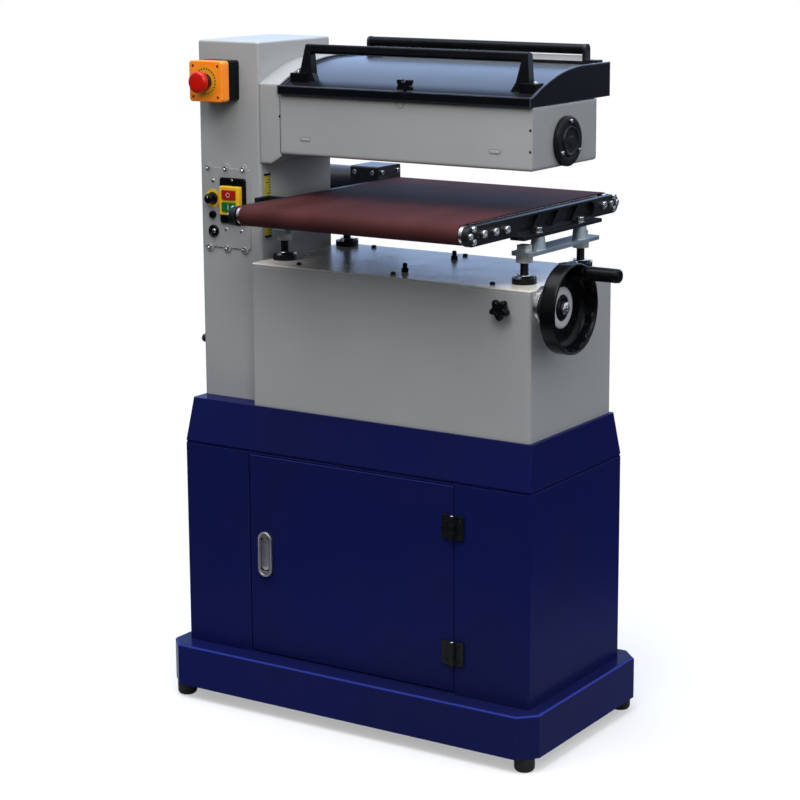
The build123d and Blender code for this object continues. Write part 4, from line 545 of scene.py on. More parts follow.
def radius_of(node):
    """Half the height of a round node."""
    low, high, _ = node_box(node)
    return (high[2] - low[2]) / 2


def polar(at, centre, across):
    """The turn, from -0.5 to 0.5, and the reach in metres of a point about a centre given in millimetres,
    where turn 0 is that axis and a quarter is up."""
    offset = at.node("VectorMath", {"operation": "SUBTRACT"}, {0: at, 1: tuple(np.array(centre) * MM)})
    side = offset.axis(across)
    rise = offset.axis("Z")
    return at.maths("ARCTAN2", rise, side) / (2 * np.pi), at.maths("SQRT", side * side + rise * rise)


def dashes(value, step, share):
    """1 on dashes that start at each step of the value and fill their share of it, and 0 between them."""
    return value.maths("FRACT", value / step) < share


moulded_black, moulded_shader, moulded_at = new_finish("moulded_black_plastic", Specular_IOR_Level=0.11)
wire_up(moulded_shader,
        Base_Color=tint(ramp(cloud(moulded_at, 30.0, 3.0), 0.3, 0.7), (6, 8, 11), (11, 13, 16)),
        Roughness=ramp(cloud(moulded_at, 60.0, 3.0), 0.3, 0.7, 0.2, 0.3),
        Normal=relief(cloud(moulded_at, 900.0), 0.00006, 0.0008))
wheel_low, _, wheel_mid = node_box("handwheel")
grip_low, grip_high, grip_mid = node_box("crank_grip")
wheel_r = radius_of("handwheel")
wheel_back = grip_low[0] - grip_gap - wheel_rim_d
wheel_at = (wheel_back, wheel_mid[1], wheel_mid[2])
hub_back = wheel_low[0] - wheel_back
web_back = bowl_floor - wheel_web_t
wheel_profile = soften([
    (hub_back, wheel_hub_r - 1), (hub_back + 1, wheel_hub_r), (web_back, wheel_hub_r + 1),
    (web_back, wheel_web_r), (0, wheel_r - 12), (0, wheel_r - 6), (0, wheel_r - 1), (3, wheel_r),
    (wheel_rim_d - 4, wheel_r), (wheel_rim_d, wheel_r - 1.5), (wheel_rim_d, wheel_r - 4.5),
    (rib_top - 1, wheel_r - 6.5), (rib_foot + 2, wheel_r - 8), (rib_foot, wheel_r - 8.5),
    (rib_foot - 2, wheel_r - 9), (bowl_floor + 5, wheel_r - 11), (bowl_floor, wheel_r - 18),
    (bowl_floor, wheel_r / 2), (bowl_floor, wheel_hub_r + 2), (wheel_hub_front - 1, wheel_hub_r),
    (wheel_hub_front, wheel_hub_r - 1.5), (wheel_hub_front, wheel_bore_r)], 4)
grip_boss = soften([
    (3, grip_boss_r), (wheel_rim_d - 1, grip_boss_r), (wheel_rim_d, grip_boss_r - 1.5),
    (wheel_rim_d, grip_pin_r), (wheel_rim_d + grip_pin_len, grip_pin_r)], 1.5)
fine_circle = rounded(0, 0, 33)
wheel_level, wheel_reach = wheel_profile.T
wheel_wall = (wheel_level > rib_foot) & (wheel_level < rib_top) & (wheel_reach < wheel_r - 5)
wheel_turn = np.linspace(0, 2 * np.pi, len(fine_circle[0]))
wheel_rib = np.clip(rib_steepness * np.cos(wheel_ribs * wheel_turn), 0, 1)
wheel_normal = fine_circle[1] * (1 - rib_depth / wheel_r * wheel_wall[:, None] * wheel_rib)[..., None]
wheel_grids = [carried(about_axis(wheel_normal), wheel_profile, wheel_at, RIGHT),
               carried(circle, grip_boss, (wheel_back, grip_mid[1], grip_mid[2]), RIGHT)]
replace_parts(new_piece("handwheel_dished", wheel_grids, moulded_black, "wheel"), "handwheel")
dial_grey, dial_shader, dial_at = new_finish("dial_grey", Roughness=0.4)
dial_turn, dial_reach = polar(dial_at, wheel_at, "Y")
dial_mark = dashes(dial_turn, 1 / dial_ticks, dial_tick_share) * (dial_reach > dial_tick_r * MM)
dial_tone = tint(cloud(dial_at, 200.0), (206, 208, 210), (186, 189, 192))
wire_up(dial_shader, Base_Color=tint(dial_mark, dial_tone, (30, 31, 33)))
new_piece("wheel_dial", [carried(fine_circle, dial_profile, wheel_at, RIGHT)], dial_grey, "wheel")
new_piece("hub_washer", [carried(circle, washer_profile, wheel_at, RIGHT)], black_oxide, "wheel")
dress(bright_steel, "wheel_flange", "wheel_shaft")
hub_nut = [(0, hub_nut_r), (hub_nut_t - 1, hub_nut_r), (hub_nut_t, hub_nut_r - 1.2)]
hub_nut_at = (wheel_back + wheel_hub_front + hub_nut_seat, *wheel_at[1:])
new_piece("hub_nut", [carried(hexagon, hub_nut, hub_nut_at, RIGHT)], bright_steel, "wheel")
shaft_at = (hub_nut_at[0] + hub_nut_t, *wheel_at[1:])
new_piece("shaft_stub", [carried(circle, shaft_stub, shaft_at, RIGHT)], bright_steel, "wheel")

# Crank grip: a plain black round handle with a groove near its chamfered end, moulded from the wheel's
# plastic and free to spin on a pin in the wheel's boss.
LEFT = (-1, 0, 0)
grip_groove_in = 4.5
grip_r = radius_of("crank_grip")
grip_len = grip_high[0] - grip_low[0]
groove_at = grip_len - grip_groove_in
grip_profile = soften([
    (0, grip_r - 3), (2, grip_r - 0.4), (14, grip_r), (groove_at - 3.5, grip_r),
    (groove_at - 0.7, grip_r - 0.1), (groove_at - 0.3, grip_r - 1), (groove_at + 0.3, grip_r - 1),
    (groove_at + 0.7, grip_r - 0.3), (groove_at + 2.3, grip_r - 0.6), (grip_len, grip_r - 3),
    (grip_len, 0.5)], 0.8)
turned_circle = rounded(0, 0, 17)
crank_grip = carried(turned_circle, grip_profile, face_of("crank_grip", LEFT), RIGHT)
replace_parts(new_piece("crank_grip_turned", [crank_grip], moulded_black, "grip"), "crank_grip")

# Lock knob: a five-lobed star knob of black plastic, moulded on a threaded stud. It screws into the
# housing's front and locks the lift.
knob_side = 54
knob_drop = 35
knob_r = 16.5
knob_t = 15
knob_dish = 1.2
knob_lobes = 5
knob_lobe = 0.21
knob_neck_len = 7
knob_neck_r = 9
star_edge = round_edge * (1 + knob_lobe * np.cos(knob_lobes * whole_turn + np.pi / 2))[:, None]
knob_at = (deck_high[0] - knob_side, deck_low[1] - knob_neck_len, deck_top - knob_drop)
knob_profile = soften([
    (0, knob_r - 3), (0, knob_r - 2), (3, knob_r), (knob_t - 4, knob_r), (knob_t, knob_r - 3.5),
    (knob_t, 7), (knob_t - knob_dish, 6), (knob_t - knob_dish, 1)], 1.6)
knob_neck = [(-knob_neck_len, knob_neck_r), (1, knob_neck_r)]
lock_knob = [carried(about_axis(star_edge), knob_profile, knob_at, FRONT),
             carried(circle, knob_neck, knob_at, FRONT)]
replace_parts(new_piece("lock_knob_star", lock_knob, moulded_black, "star_knob"), "lock_knob")

# Column, neck and head: welded steel boxes in the same grey enamel. The head's front has two oblong plugs.
# Around the plugs and around the hood latch's hole are darker grey rings, which are painted shade of their
# grooves. It also has small dark screws, and a grey strip at the neck's seam that is the seam's painted
# shadow line.
plug_w = 24
plug_h = 9
plug_t = 0.5
plug_bevel = 0.5
plug_groove = 1.8
plug_left_in = 56
plug_right_in = 76
plug_up = 31
latch_hole_r = 9
latch_hole_in = 263
latch_hole_drop = 6
head_screw = (2.4, 0.7)
end_screw_in = 5
end_screw_ups = (71, 34)
seam_screw_out = 1
seam_screw_up = 70
seam_r = 0.7
seam_t = 0.3
seam_short = 8


def plastic(name, colour, drift, gloss, shine=0.3, edge=0.0008):
    """Moulded plastic: a solid colour with slight flow streaks and a fine grain."""
    made, shader, at = new_finish(name, Specular_IOR_Level=shine)
    wire_up(shader, Base_Color=tint(ramp(cloud(at, 40.0, 3.0), 0.3, 0.7), colour, drift),
            Roughness=cloud(at, 300.0) * 0.1 + (gloss - 0.05),
            Normal=relief(cloud(at, 1200.0), 0.00003, edge))
    return made


dress(machine_grey, "column_shell")
# The third colour is the edge colour: partly wear, partly a painted highlight.
folded_grey = enamel("folded_grey_enamel", (158, 160, 161), (152, 154, 155), (178, 180, 182), 0.3, 0.00005,
                     shine=0.45, edge=0.002, fold=0.007)
dress(folded_grey, "head_neck", "head_housing")
head_low, head_high, head_mid = node_box("head_housing")
head_front = head_low[1]
plug_core = plug_h / 2 - plug_groove
plug_shape = rounded(plug_w - plug_h, 0)
plug_profile = [(0, plug_core), (plug_t, plug_core), (plug_t, plug_core - plug_bevel)]
plug_spots = [(x, head_front, head_low[2] + plug_up)
              for x in (head_low[0] + plug_left_in, head_high[0] - plug_right_in)]
plugs = [carried(plug_shape, plug_profile, spot, FRONT) for spot in plug_spots]
new_piece("head_plugs", plugs, machine_grey, "frame")
screw_spots = [(head_high[0] - end_screw_in, up) for up in end_screw_ups]
screw_spots.append((head_low[0] - seam_screw_out, seam_screw_up))
head_screws = [domed(head_screw, (x, head_front, head_low[2] + up), FRONT) for x, up in screw_spots]
new_piece("head_screws", head_screws, black_oxide, "frame")
# A mid grey strip along the neck's seam: painted shade standing in for the seam's shadow line.
seam_shade_grey = plastic("seam_painted_shade", (104, 106, 108), (92, 94, 96), 0.7)
seam_shape = rounded(0, head_high[2] - head_low[2] - seam_short)
seam_profile = [(0, seam_r), (seam_t, seam_r), (seam_t, seam_r / 2)]
neck_seam_shade_line = carried(seam_shape, seam_profile, (head_low[0], head_front, head_mid[2]), FRONT)
new_piece("neck_seam_shade_line", [neck_seam_shade_line], seam_shade_grey, "frame")
# Darker grey rings round the plugs and the latch's hole: painted shade of the grooves round them.
groove_shade_rings = [carried(plug_shape, ring(plug_core, plug_h / 2, seam_t), spot, FRONT) for spot in plug_spots]
latch_hole_at = (head_low[0] + latch_hole_in, head_front, head_high[2] - latch_hole_drop)
latch_hole = ring(latch_hole_r - plug_groove, latch_hole_r, seam_t)
groove_shade_rings.append(carried(circle, latch_hole, latch_hole_at, FRONT))
groove_shade_grey = plastic("groove_painted_shade", (134, 136, 138), (124, 126, 128), 0.6)
new_piece("plug_groove_shade", groove_shade_rings, groove_shade_grey, "frame")

# Cord gland: a dark plastic hexagon gland with a domed nut, screwed into the column's left side near its
# front. The photo shows only its outline past the column's edge.
gland_behind = 23
gland_up = 104
gland_hex_r = 9.5
gland_hex_t = 8
gland_nut_r = 8.5
gland_len = 21
column_low, column_high, _ = node_box("column_shell")
gland_at = (column_low[0], column_low[1] + gland_behind, column_low[2] + gland_up)
gland_hex = [(0, gland_hex_r), (gland_hex_t - 1, gland_hex_r), (gland_hex_t, gland_hex_r - 1)]
gland_nut = soften([
    (gland_hex_t - 0.5, gland_nut_r), (gland_len - 4, gland_nut_r), (gland_len, gland_nut_r / 2),
    (gland_len, 1)], 3)
gland_grey = plastic("gland_plastic", (46, 46, 47), (36, 36, 38), 0.3)
cord_gland = [carried(hexagon, gland_hex, gland_at, LEFT), carried(circle, gland_nut, gland_at, LEFT)]
new_piece("cord_gland", cord_gland, gland_grey, "frame")

# Bearing cap: a black turned cover over the drum's bearing, with a raised ring and a dished middle. Three
# bright socket screws hold it to the head's end.
cap_t = 11
cap_ring_r = 27
cap_ring_t = 13.7
cap_dish_t = 12.2
cap_hub_r = 8
cap_screw = (3.6, 3.4)
cap_r = radius_of("bearing_cap")
cap_at = face_of("bearing_cap", LEFT)
cap_profile = soften([
    (0, cap_r - 0.5), (1, cap_r), (cap_t - 3, cap_r), (cap_t, cap_r - 2.6), (cap_t, cap_ring_r + 3),
    (cap_t - 1.5, cap_ring_r + 2), (cap_t - 1.5, cap_ring_r + 0.6), (cap_ring_t, cap_ring_r - 0.4),
    (cap_ring_t, cap_ring_r - 4), (cap_dish_t, cap_ring_r - 5.5), (cap_dish_t, cap_hub_r + 1),
    (cap_t + 2, cap_hub_r), (cap_t + 2, 1)], 0.9)
bearing_cap = carried(fine_circle, cap_profile, cap_at, RIGHT)
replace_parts(new_piece("bearing_cap_turned", [bearing_cap], cast_black, "frame"), "bearing_cap")
cap_screws = [socket_head(cap_screw, cap_at + (cap_t, along, up), RIGHT)
              for along, up in around((cap_r + cap_ring_r) / 2, 90, 210, 330)]
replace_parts(new_piece("cap_screws", cap_screws, bright_steel, "frame"), "frame_screws")

# Drum, abrasive, bearings, pulleys and drive belt: a steel drum wound with a spiral strip of reddish grit,
# driven by a rubber V belt over turned steel pulleys.
strip_w = 0.076
strip_seam = 0.018
dress(bright_steel, "sanding_drum", "drum_bearings", "motor_pulley", "drum_pulley")
drum_mid = node_box("abrasive_wrap")[2]
grit, grit_shader, grit_at = new_finish("abrasive_grit", Roughness=0.85, Specular_IOR_Level=0.25)
grit_spiral = (grit_at.axis("X") - drum_mid[0] * MM) / strip_w + polar(grit_at, drum_mid, "Y")[0]
grains = cloud(grit_at, 1400.0, 3.0)
grit_tone = tint(ramp(grains, 0.3, 0.7), (96, 52, 40), (140, 84, 66))
wire_up(grit_shader, Base_Color=tint(dashes(grit_spiral, 1.0, strip_seam), grit_tone, (40, 24, 20)),
        Normal=relief(grains, 0.0006, 0.0005))
dress(grit, "abrasive_wrap")
v_belt_rubber = rubber("v_belt_rubber", (20, 20, 21), (40, 39, 38), 300.0, 0.4, 0.55, 0.0002, 0.0005)
dress(v_belt_rubber, "drive_v_belt")

# Motor: a grey painted aluminium body with cooling fins along it, two end bells, a cast foot and a terminal
# box, bolted to the cabinet's floor.
motor_r = 82
motor_fins = 36
motor_fin_depth = 0.07
motor_bell = 24
motor_shaft_up = 112
motor_foot = (144, 131)
motor_foot_t = 10
motor_foot_edge = 6
motor_web = (104, 81)
motor_web_h = 60
motor_box = (96, 76)
motor_box_h = 60
motor_box_edge = 8
motor_low, motor_high, motor_mid = node_box("drum_motor")


def motor_block(size, edge, profile, bottom):
    """An upright block of the motor: a rectangle of that size with rounded corners, carried up a profile."""
    outline = rounded(size[0] - 2 * edge, size[1] - 2 * edge)
    return carried(outline, profile, (motor_mid[0], drum_mid[1], bottom), UP)


motor_len = motor_high[0] - motor_low[0]
motor_far = motor_len - motor_bell
motor_turn = np.linspace(0, 2 * np.pi, motor_fins * 6 + 1)
motor_round = np.stack([np.cos(motor_turn), np.sin(motor_turn)], 1)
motor_finned = motor_round * (1 - motor_fin_depth * (np.cos(motor_fins * motor_turn) < -0.2))[:, None]
motor_outline = about_axis(np.stack([motor_round] * 4 + [motor_finned] * 2 + [motor_round] * 4))
motor_profile = [
    (0, motor_r - 22), (3, motor_r - 12), (motor_bell - 2, motor_r - 4), (motor_bell, motor_r - 4),
    (motor_bell, motor_r), (motor_far, motor_r), (motor_far, motor_r - 4), (motor_far + 2, motor_r - 4),
    (motor_len - 3, motor_r - 8), (motor_len, motor_r - 14)]
motor_at = (motor_low[0], drum_mid[1], motor_low[2] + motor_shaft_up)
foot_rows = soften([(0, motor_foot_edge), (motor_foot_t, motor_foot_edge), (motor_foot_t, 1)], 1.5)
web_rows = [(0, motor_foot_edge), (motor_web_h, 2)]
box_rows = soften([
    (0, motor_box_edge), (motor_box_h - 2, motor_box_edge), (motor_box_h, motor_box_edge / 2),
    (motor_box_h, 1)], 1.5)
motor_grids = [
    carried(motor_outline, motor_profile, motor_at, RIGHT),
    motor_block(motor_foot, motor_foot_edge, foot_rows, motor_low[2]),
    motor_block(motor_web, 0, web_rows, motor_low[2] + motor_foot_t),
    motor_block(motor_box, motor_box_edge, box_rows, motor_high[2] - motor_box_h)]
# The third colour is the edge colour: partly wear, partly a painted highlight.
motor_grey = enamel("motor_grey_paint", (120, 124, 128), (112, 116, 121), (164, 168, 172), 0.4, 0.00012,
                    edge=0.0008)
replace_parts(new_piece("drum_motor_finned", motor_grids, motor_grey, "frame"), "drum_motor")

# Dust hood: black lacquered sheet with a curved lid, raised end plates and a thick front rim, hinged at the
# rear. The lid is polished enough to mirror the light above it, and the ends and the rim are satin.
hood_rim_h = 35
hood_lid_h = 46
hood_polish = 0.72
# The third colour, a pale blue grey, paints the edges: partly wear, mostly a painted highlight of the sky.
hood_black = enamel("hood_black_lacquer", (7, 9, 13), (10, 12, 16), (104, 112, 130), 0.3, 0.00001,
                    shine=0.12, edge=0.0035)
hood_shader, _, hood_at = opened(hood_black)
hood_shader.inputs["Coat Roughness"].default_value = 0.3
hood_foot = node_box("drum_hood")[0][2]
hood_turned = facing(hood_at).axis("X")
hood_lid = ramp(hood_at.axis("Z"), (hood_foot + hood_rim_h) * MM, (hood_foot + hood_lid_h) * MM)
wire_up(hood_shader, Coat_Weight=hood_lid * ramp(hood_turned * hood_turned, 0.6, 0.3) * hood_polish)
dress(hood_black, "drum_hood")

# Hood fittings: a moulded handle bolted through its feet, a turn latch on the rim, and a rubber-covered
# return roller in a bracket with black cheeks and a bright web under the roller.
handle_bolt = (4.4, 4.0)
handle_bolt_ins = (9, 8.5)
handle_bolt_behind = 13
handle_foot_h = 16.2
bracket_cheek = 7
bracket_strip = 5
bracket_web_t = 2
dress(moulded_black, "hood_handle", "hood_latch", "return_roller")
bracket_foot = node_box("roller_brackets")[0][2]
bar_low, bar_high, bar_mid = node_box("return_roller")
bracket_paint, bracket_shader, bracket_at = new_finish("bracket_paint", Metallic=0.3)
bracket_x = bracket_at.axis("X")
bracket_off = bracket_at.axis("Y") - bar_mid[1] * MM
bracket_between = ((bracket_x > (bar_low[0] + bracket_cheek) * MM)
                   * (bracket_x < (bar_high[0] - bracket_cheek) * MM))
bracket_web = (bracket_between * (bracket_at.axis("Z") > (bracket_foot + bracket_strip) * MM)
               * (bracket_off * bracket_off < (bracket_web_t * MM) ** 2))
bracket_streak = cloud(bracket_at, 60.0, 3.0, (1.0, 8.0, 8.0))
bracket_bright = tint(bracket_streak, (224, 227, 233), (198, 202, 210))
wire_up(bracket_shader, Base_Color=tint(bracket_web, (14, 15, 18), bracket_bright),
        Roughness=bracket_streak * 0.2 + 0.3, Normal=relief(bracket_streak, 0.00004, 0.0008))
dress(bracket_paint, "roller_brackets")
handle_low, handle_high, _ = node_box("hood_handle")
handle_bolt_y = handle_low[1] + handle_bolt_behind
handle_bolts = [
    socket_head(handle_bolt, (x, handle_bolt_y, handle_low[2] + handle_foot_h), UP)
    for x in (handle_low[0] + handle_bolt_ins[0], handle_high[0] - handle_bolt_ins[1])]
new_piece("handle_bolts", handle_bolts, bright_steel, "hood")

# Table lift arms: zinc-plated flat bars with tapered bosses welded on, held on the lift posts by turned
# steel collars with a dull plating.
zinc_steel = metal("zinc_plate", (176, 190, 198), (142, 158, 168), 0.36, (8.0, 1.0, 8.0), 0.00004, bare=0.8)
dress(zinc_steel, "support_bars")
collar_steel = metal("collar_steel", (220, 222, 224), (186, 189, 192), 0.3, (3.0, 3.0, 12.0), 0.00004,
                     bare=0.5)
dress(collar_steel, "post_clamps")

# Side rails: black cast rails with ribbed pockets and a bottom flange, full of bright socket screws at the
# roller ends, and round bolts with washers that hold the flange to the bosses.
rail_t = 12
rail_flange_t = 7
end_bolt = (5.6, 4.6)
line_bolt = (7.2, 5.4)
bolt_step = 11
front_cluster = ((-1, 0), (0, 1), (0, -1))
rear_cluster = front_cluster + ((1, 0),)
front_line = (3, 6.5, 10)
rear_line = 3.6
flange_bolt = [(0, 9), (1.6, 9), (1.6, 7), (9, 7), (10, 6)]
boss_side_ins = (29, 16)
boss_end_ins = (51, 52)
dress(cast_black, "right_rail", "left_rail")
_, front_y, roller_z = node_box("front_roller")[2]
rear_y = node_box("rear_roller")[2][1]
left_face = node_box("left_rail")[1][0] - rail_t
right_low = node_box("right_rail")[0]
rail_spots = [(front_y + bolt_step * y, roller_z + bolt_step * z, end_bolt) for y, z in front_cluster]
rail_spots += [(front_y + bolt_step * step, roller_z - step / 4, line_bolt) for step in front_line]
rail_spots += [(rear_y - bolt_step * y, roller_z + bolt_step * z, end_bolt) for y, z in rear_cluster]
rail_spots += [(rear_y - bolt_step * rear_line, roller_z, line_bolt)]
rail_bolts = [
    socket_head(size, (face_x, y, z), axis)
    for face_x, axis in ((left_face, LEFT), (right_low[0] + rail_t, RIGHT)) for y, z, size in rail_spots]
arm_low, arm_high, _ = node_box("support_bars")
rail_bolts += [
    carried(circle, flange_bolt, (x, y, right_low[2] + rail_flange_t), UP)
    for x in (arm_low[0] + boss_side_ins[0], arm_high[0] - boss_side_ins[1])
    for y in (arm_low[1] + boss_end_ins[0], arm_high[1] - boss_end_ins[1])]
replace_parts(new_piece("rail_bolts_socketed", rail_bolts, bright_steel, "table"), "rail_bolts")

# Conveyor belt: a seamless abrasive-faced loop of brown cloth with cut edges, run over two steel rollers
# and a steel bed. The cloth shows its weave, fine grit and long faint bands where boards have run.
belt_t = 2.0
belt_edge = 0.5
belt_low, belt_high, belt_mid = node_box("conveyor_belt")
belt_r = radius_of("conveyor_belt")
belt_w = belt_high[0] - belt_low[0]
belt_profile = [
    (0, belt_r - belt_t), (0, belt_r - belt_edge), (belt_edge, belt_r), (belt_w / 2, belt_r),
    (belt_w - belt_edge, belt_r), (belt_w, belt_r - belt_edge), (belt_w, belt_r - belt_t),
    (0, belt_r - belt_t)]
belt_cloth, belt_shader, belt_at = new_finish("belt_cloth", Specular_IOR_Level=0.03)
belt_bands = cloud(belt_at, 5.0, 3.0, (3.0, 0.35, 1.0))
belt_grit = cloud(belt_at, 900.0, 3.0)
belt_weave = belt_at.node("TexVoronoi", {}, {"Vector": belt_at, "Scale": 520.0})
belt_tone = tint(ramp(belt_bands, 0.3, 0.7), (72, 40, 41), (62, 34, 35))
wire_up(belt_shader, Base_Color=tint(ramp(belt_grit, 0.45, 0.8, 0.0, 0.5), belt_tone, (48, 25, 26)),
        Roughness=belt_grit * 0.2 + 0.5, Normal=relief(belt_weave * 0.5 + belt_grit * 0.5, 0.00025, 0.0005))
belt_path = rounded(belt_high[1] - belt_low[1] - 2 * belt_r, 0, 33)
conveyor_belt = carried(belt_path, belt_profile, (belt_low[0], belt_mid[1], roller_z), RIGHT)
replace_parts(new_piece("conveyor_belt_cloth", [conveyor_belt], belt_cloth, "table"), "conveyor_belt")
dress(bright_steel, "front_roller", "rear_roller", "conveyor_bed")

# Feed gearmotor: a black cast gearbox on the rear roller's shaft with a glossy blue-black motor on its
# left. Bright cap screws hold the gearbox's front cover and its side.
gear_motor_len = 104
gear_bolt = (4.6, 4.0)
gear_bolt_in = 12
gear_low, gear_high, gear_mid = node_box("feed_gearmotor")
gear_split = gear_low[0] + gear_motor_len
gearmotor, gear_shader, gear_at = new_finish("gearmotor_castings")
gear_tone = cloud(gear_at, 120.0, 4.0)
gear_black = tint(gear_tone, (15, 16, 18), (24, 25, 27))
gear_blue = tint(gear_tone, (12, 15, 26), (18, 21, 32))
wire_up(gear_shader, Base_Color=tint(gear_at.axis("X") < gear_split * MM, gear_black, gear_blue),
        Roughness=gear_tone * 0.2 + 0.2, Normal=relief(gear_tone, 0.0002, 0.001))
dress(gearmotor, "feed_gearmotor")
gear_x = (gear_split + gear_high[0]) / 2
gear_up = (gear_high[2] - gear_low[2]) / 2 - gear_bolt_in
gear_out = (gear_high[0] - gear_split) / 2 - gear_bolt_in
pairs = [(first, second) for first in (-1, 1) for second in (-1, 1)]
gear_spots = [((gear_x + side * gear_out, gear_low[1], gear_mid[2] + up * gear_up), FRONT)
              for side, up in pairs]
gear_spots += [((gear_high[0], gear_mid[1] + side * gear_up, gear_mid[2] + up * gear_up), RIGHT)
               for side, up in pairs]
gear_bolts = [socket_head(gear_bolt, spot, axis) for spot, axis in gear_spots]
new_piece("gearmotor_bolts", gear_bolts, bright_steel, "table")

# Control panel: a grey plate with scalloped ears on the column's front, held by six bright socket screws,
# with three small domed screws that hold the parts behind it.
panel_screw = (4.6, 3.4)
panel_screw_out = 41
panel_lobe = 9
small_screw = (3.8, 1.9)
small_screw_spots = ((25, 134), (53.5, 43.5), (89.5, 42))
# The third colour is the edge colour: partly wear, partly a painted highlight.
panel_grey = enamel("panel_grey_enamel", (156, 158, 159), (150, 152, 153), (172, 174, 176), 0.3, 0.00005,
                    shine=0.45)
dress(panel_grey, "control_panel")
panel_low, panel_high, panel_mid = node_box("control_panel")
panel_face = panel_low[1]
panel_screws = [
    socket_head(panel_screw, (panel_mid[0] + across * panel_screw_out, panel_face, z), FRONT)
    for across in (-1, 0, 1) for z in (panel_low[2] + panel_lobe, panel_high[2] - panel_lobe)]
panel_screws += [domed(small_screw, panel_low + (x, 0, z), FRONT) for x, z in small_screw_spots]
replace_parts(new_piece("panel_screws", panel_screws, bright_steel, "frame"), "frame_screws")

# Main switch: a black plate with a yellow frame round a red stop button over a green start button. Each
# button has a white mark, a ring for stop and a bar for start.
mark_t = 0.3
stop_ring = ring(3.4, 4.3, mark_t)
start_bar = [(0, 0.7), (mark_t, 0.7)]
start_bar_h = 8
switch_screw = (2.2, 0.9)
switch_screw_in = 4
signal_yellow = plastic("signal_yellow_plastic", (232, 186, 40), (222, 174, 30), 0.34)
signal_red = plastic("signal_red_plastic", (190, 21, 11), (180, 16, 8), 0.28)
button_red = plastic("button_red_plastic", (158, 26, 20), (146, 22, 17), 0.3)
signal_green = plastic("signal_green_plastic", (6, 104, 46), (4, 94, 40), 0.3)
mark_white = plastic("mark_white_paint", (206, 202, 196), (196, 192, 186), 0.5)
dress(moulded_black, "switch_body")
dress(signal_yellow, "switch_bezel")
dress(button_red, "stop_button")
dress(signal_green, "start_button")
stop_mark = carried(circle, stop_ring, face_of("stop_button", FRONT), FRONT)
new_piece("stop_mark", [stop_mark], mark_white, "stop_push")
start_mark = carried(rounded(0, start_bar_h), start_bar, face_of("start_button", FRONT), FRONT)
new_piece("start_mark", [start_mark], mark_white, "start_push")
switch_low, switch_high, switch_mid = node_box("switch_body")
switch_screw_at = (switch_mid[0], switch_low[1], switch_high[2] - switch_screw_in)
new_piece("switch_screw", [domed(switch_screw, switch_screw_at, FRONT)], bright_steel, "frame")

# Speed control: a fluted black knob with a white pointer on a round yellow dial, and below it a small black
# reset button and a round black socket with a bright contact.
speed_dial = ring(5, 17, 0.5)
speed_t = 17
speed_shaft = [(-14, 3), (0, 3)]
speed_pointer = [(0, 0.7), (0.2, 0.7)]
speed_pointer_h = 4
speed_pointer_up = 4
flutes = 16
flute = 0.035
socket_spot = (25, 0, 39)
socket_profile = soften([(0, 11.5), (3, 11.5), (4.5, 10), (4.5, 8), (1.5, 7), (1.5, 1)], 0.6)
socket_contact = (5.2, 3.6)
dress(moulded_black, "reset_button")
speed_front = face_of("speed_knob", FRONT)
speed_at = speed_front + (0, speed_t, 0)
speed_r = radius_of("speed_knob")
fluted_edge = round_edge * (1 - flute * np.cos(flutes * whole_turn))[:, None] / (1 + flute)
speed_profile = soften([
    (0, speed_r - 0.5), (0, speed_r), (3, speed_r), (4, speed_r - 2), (speed_t - 2, speed_r - 2.5),
    (speed_t, speed_r - 4.5), (speed_t, 1)], 0.8)
speed_knob = [carried(about_axis(fluted_edge), speed_profile, speed_at, FRONT),
              carried(circle, speed_shaft, speed_at, FRONT)]
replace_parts(new_piece("speed_knob_fluted", speed_knob, moulded_black, "speed_dial_knob"), "speed_knob")
pointer_at = speed_front + (0, 0, speed_pointer_up)
pointer = carried(rounded(0, speed_pointer_h), speed_pointer, pointer_at, FRONT)
new_piece("speed_pointer", [pointer], mark_white, "speed_dial_knob")
dial_spot = (speed_at[0], panel_face, speed_at[2])
new_piece("speed_dial", [carried(circle, speed_dial, dial_spot, FRONT)], signal_yellow, "frame")
socket_at = panel_low + socket_spot
new_piece("round_socket", [carried(circle, socket_profile, socket_at, FRONT)], moulded_black, "frame")
new_piece("socket_contact", [domed(socket_contact, socket_at, FRONT)], bright_steel, "frame")

# Emergency stop: a black box with an orange lid held by four dark screws, a yellow legend ring with plain
# dashes, a black collar, and a red mushroom button that presses in.
estop_lid_d = 22
estop_collar_gap = 0.4
estop_screw = (2.6, 0.8)
estop_screw_in = 9
legend_profile = ring(17, 28, 0.5)
legend_band = (21.5, 24.5)
legend_dashes = 24
legend_dash_share = 0.5
mushroom_t = 13
mushroom_stem_r = 10
mushroom_stem_len = 30
dress(moulded_black, "estop_base")
estop_low, estop_high, estop_mid = node_box("estop_lid")
estop_face = estop_high[1] - estop_lid_d
estop_at = (estop_mid[0], estop_face, estop_mid[2])
lid_orange = plastic("lid_orange_plastic", (254, 146, 34), (248, 136, 28), 0.33, shine=0.5, edge=0.001)
lid_shader, lid_paint, lid_at = opened(lid_orange)
lid_collar = lid_at.axis("Y") < (estop_face - estop_collar_gap) * MM
wire_up(lid_shader, Base_Color=tint(lid_collar, lid_paint, (16, 16, 17)))
dress(lid_orange, "estop_lid")
lid_screw_brown = plastic("lid_screw_brown", (112, 34, 16), (92, 26, 12), 0.4)
estop_out = (estop_high[0] - estop_low[0]) / 2 - estop_screw_in
lid_screws = [
    domed(estop_screw, (estop_at[0] + side * estop_out, estop_face, estop_at[2] + up * estop_out), FRONT)
    for side, up in pairs]
new_piece("lid_screws", lid_screws, lid_screw_brown, "frame")
legend, legend_shader, legend_at = new_finish("legend_ring", Roughness=0.45)
legend_turn, legend_reach = polar(legend_at, estop_at, "X")
legend_within = (legend_reach > legend_band[0] * MM) * (legend_reach < legend_band[1] * MM)
legend_mark = dashes(legend_turn, 1 / legend_dashes, legend_dash_share) * legend_within
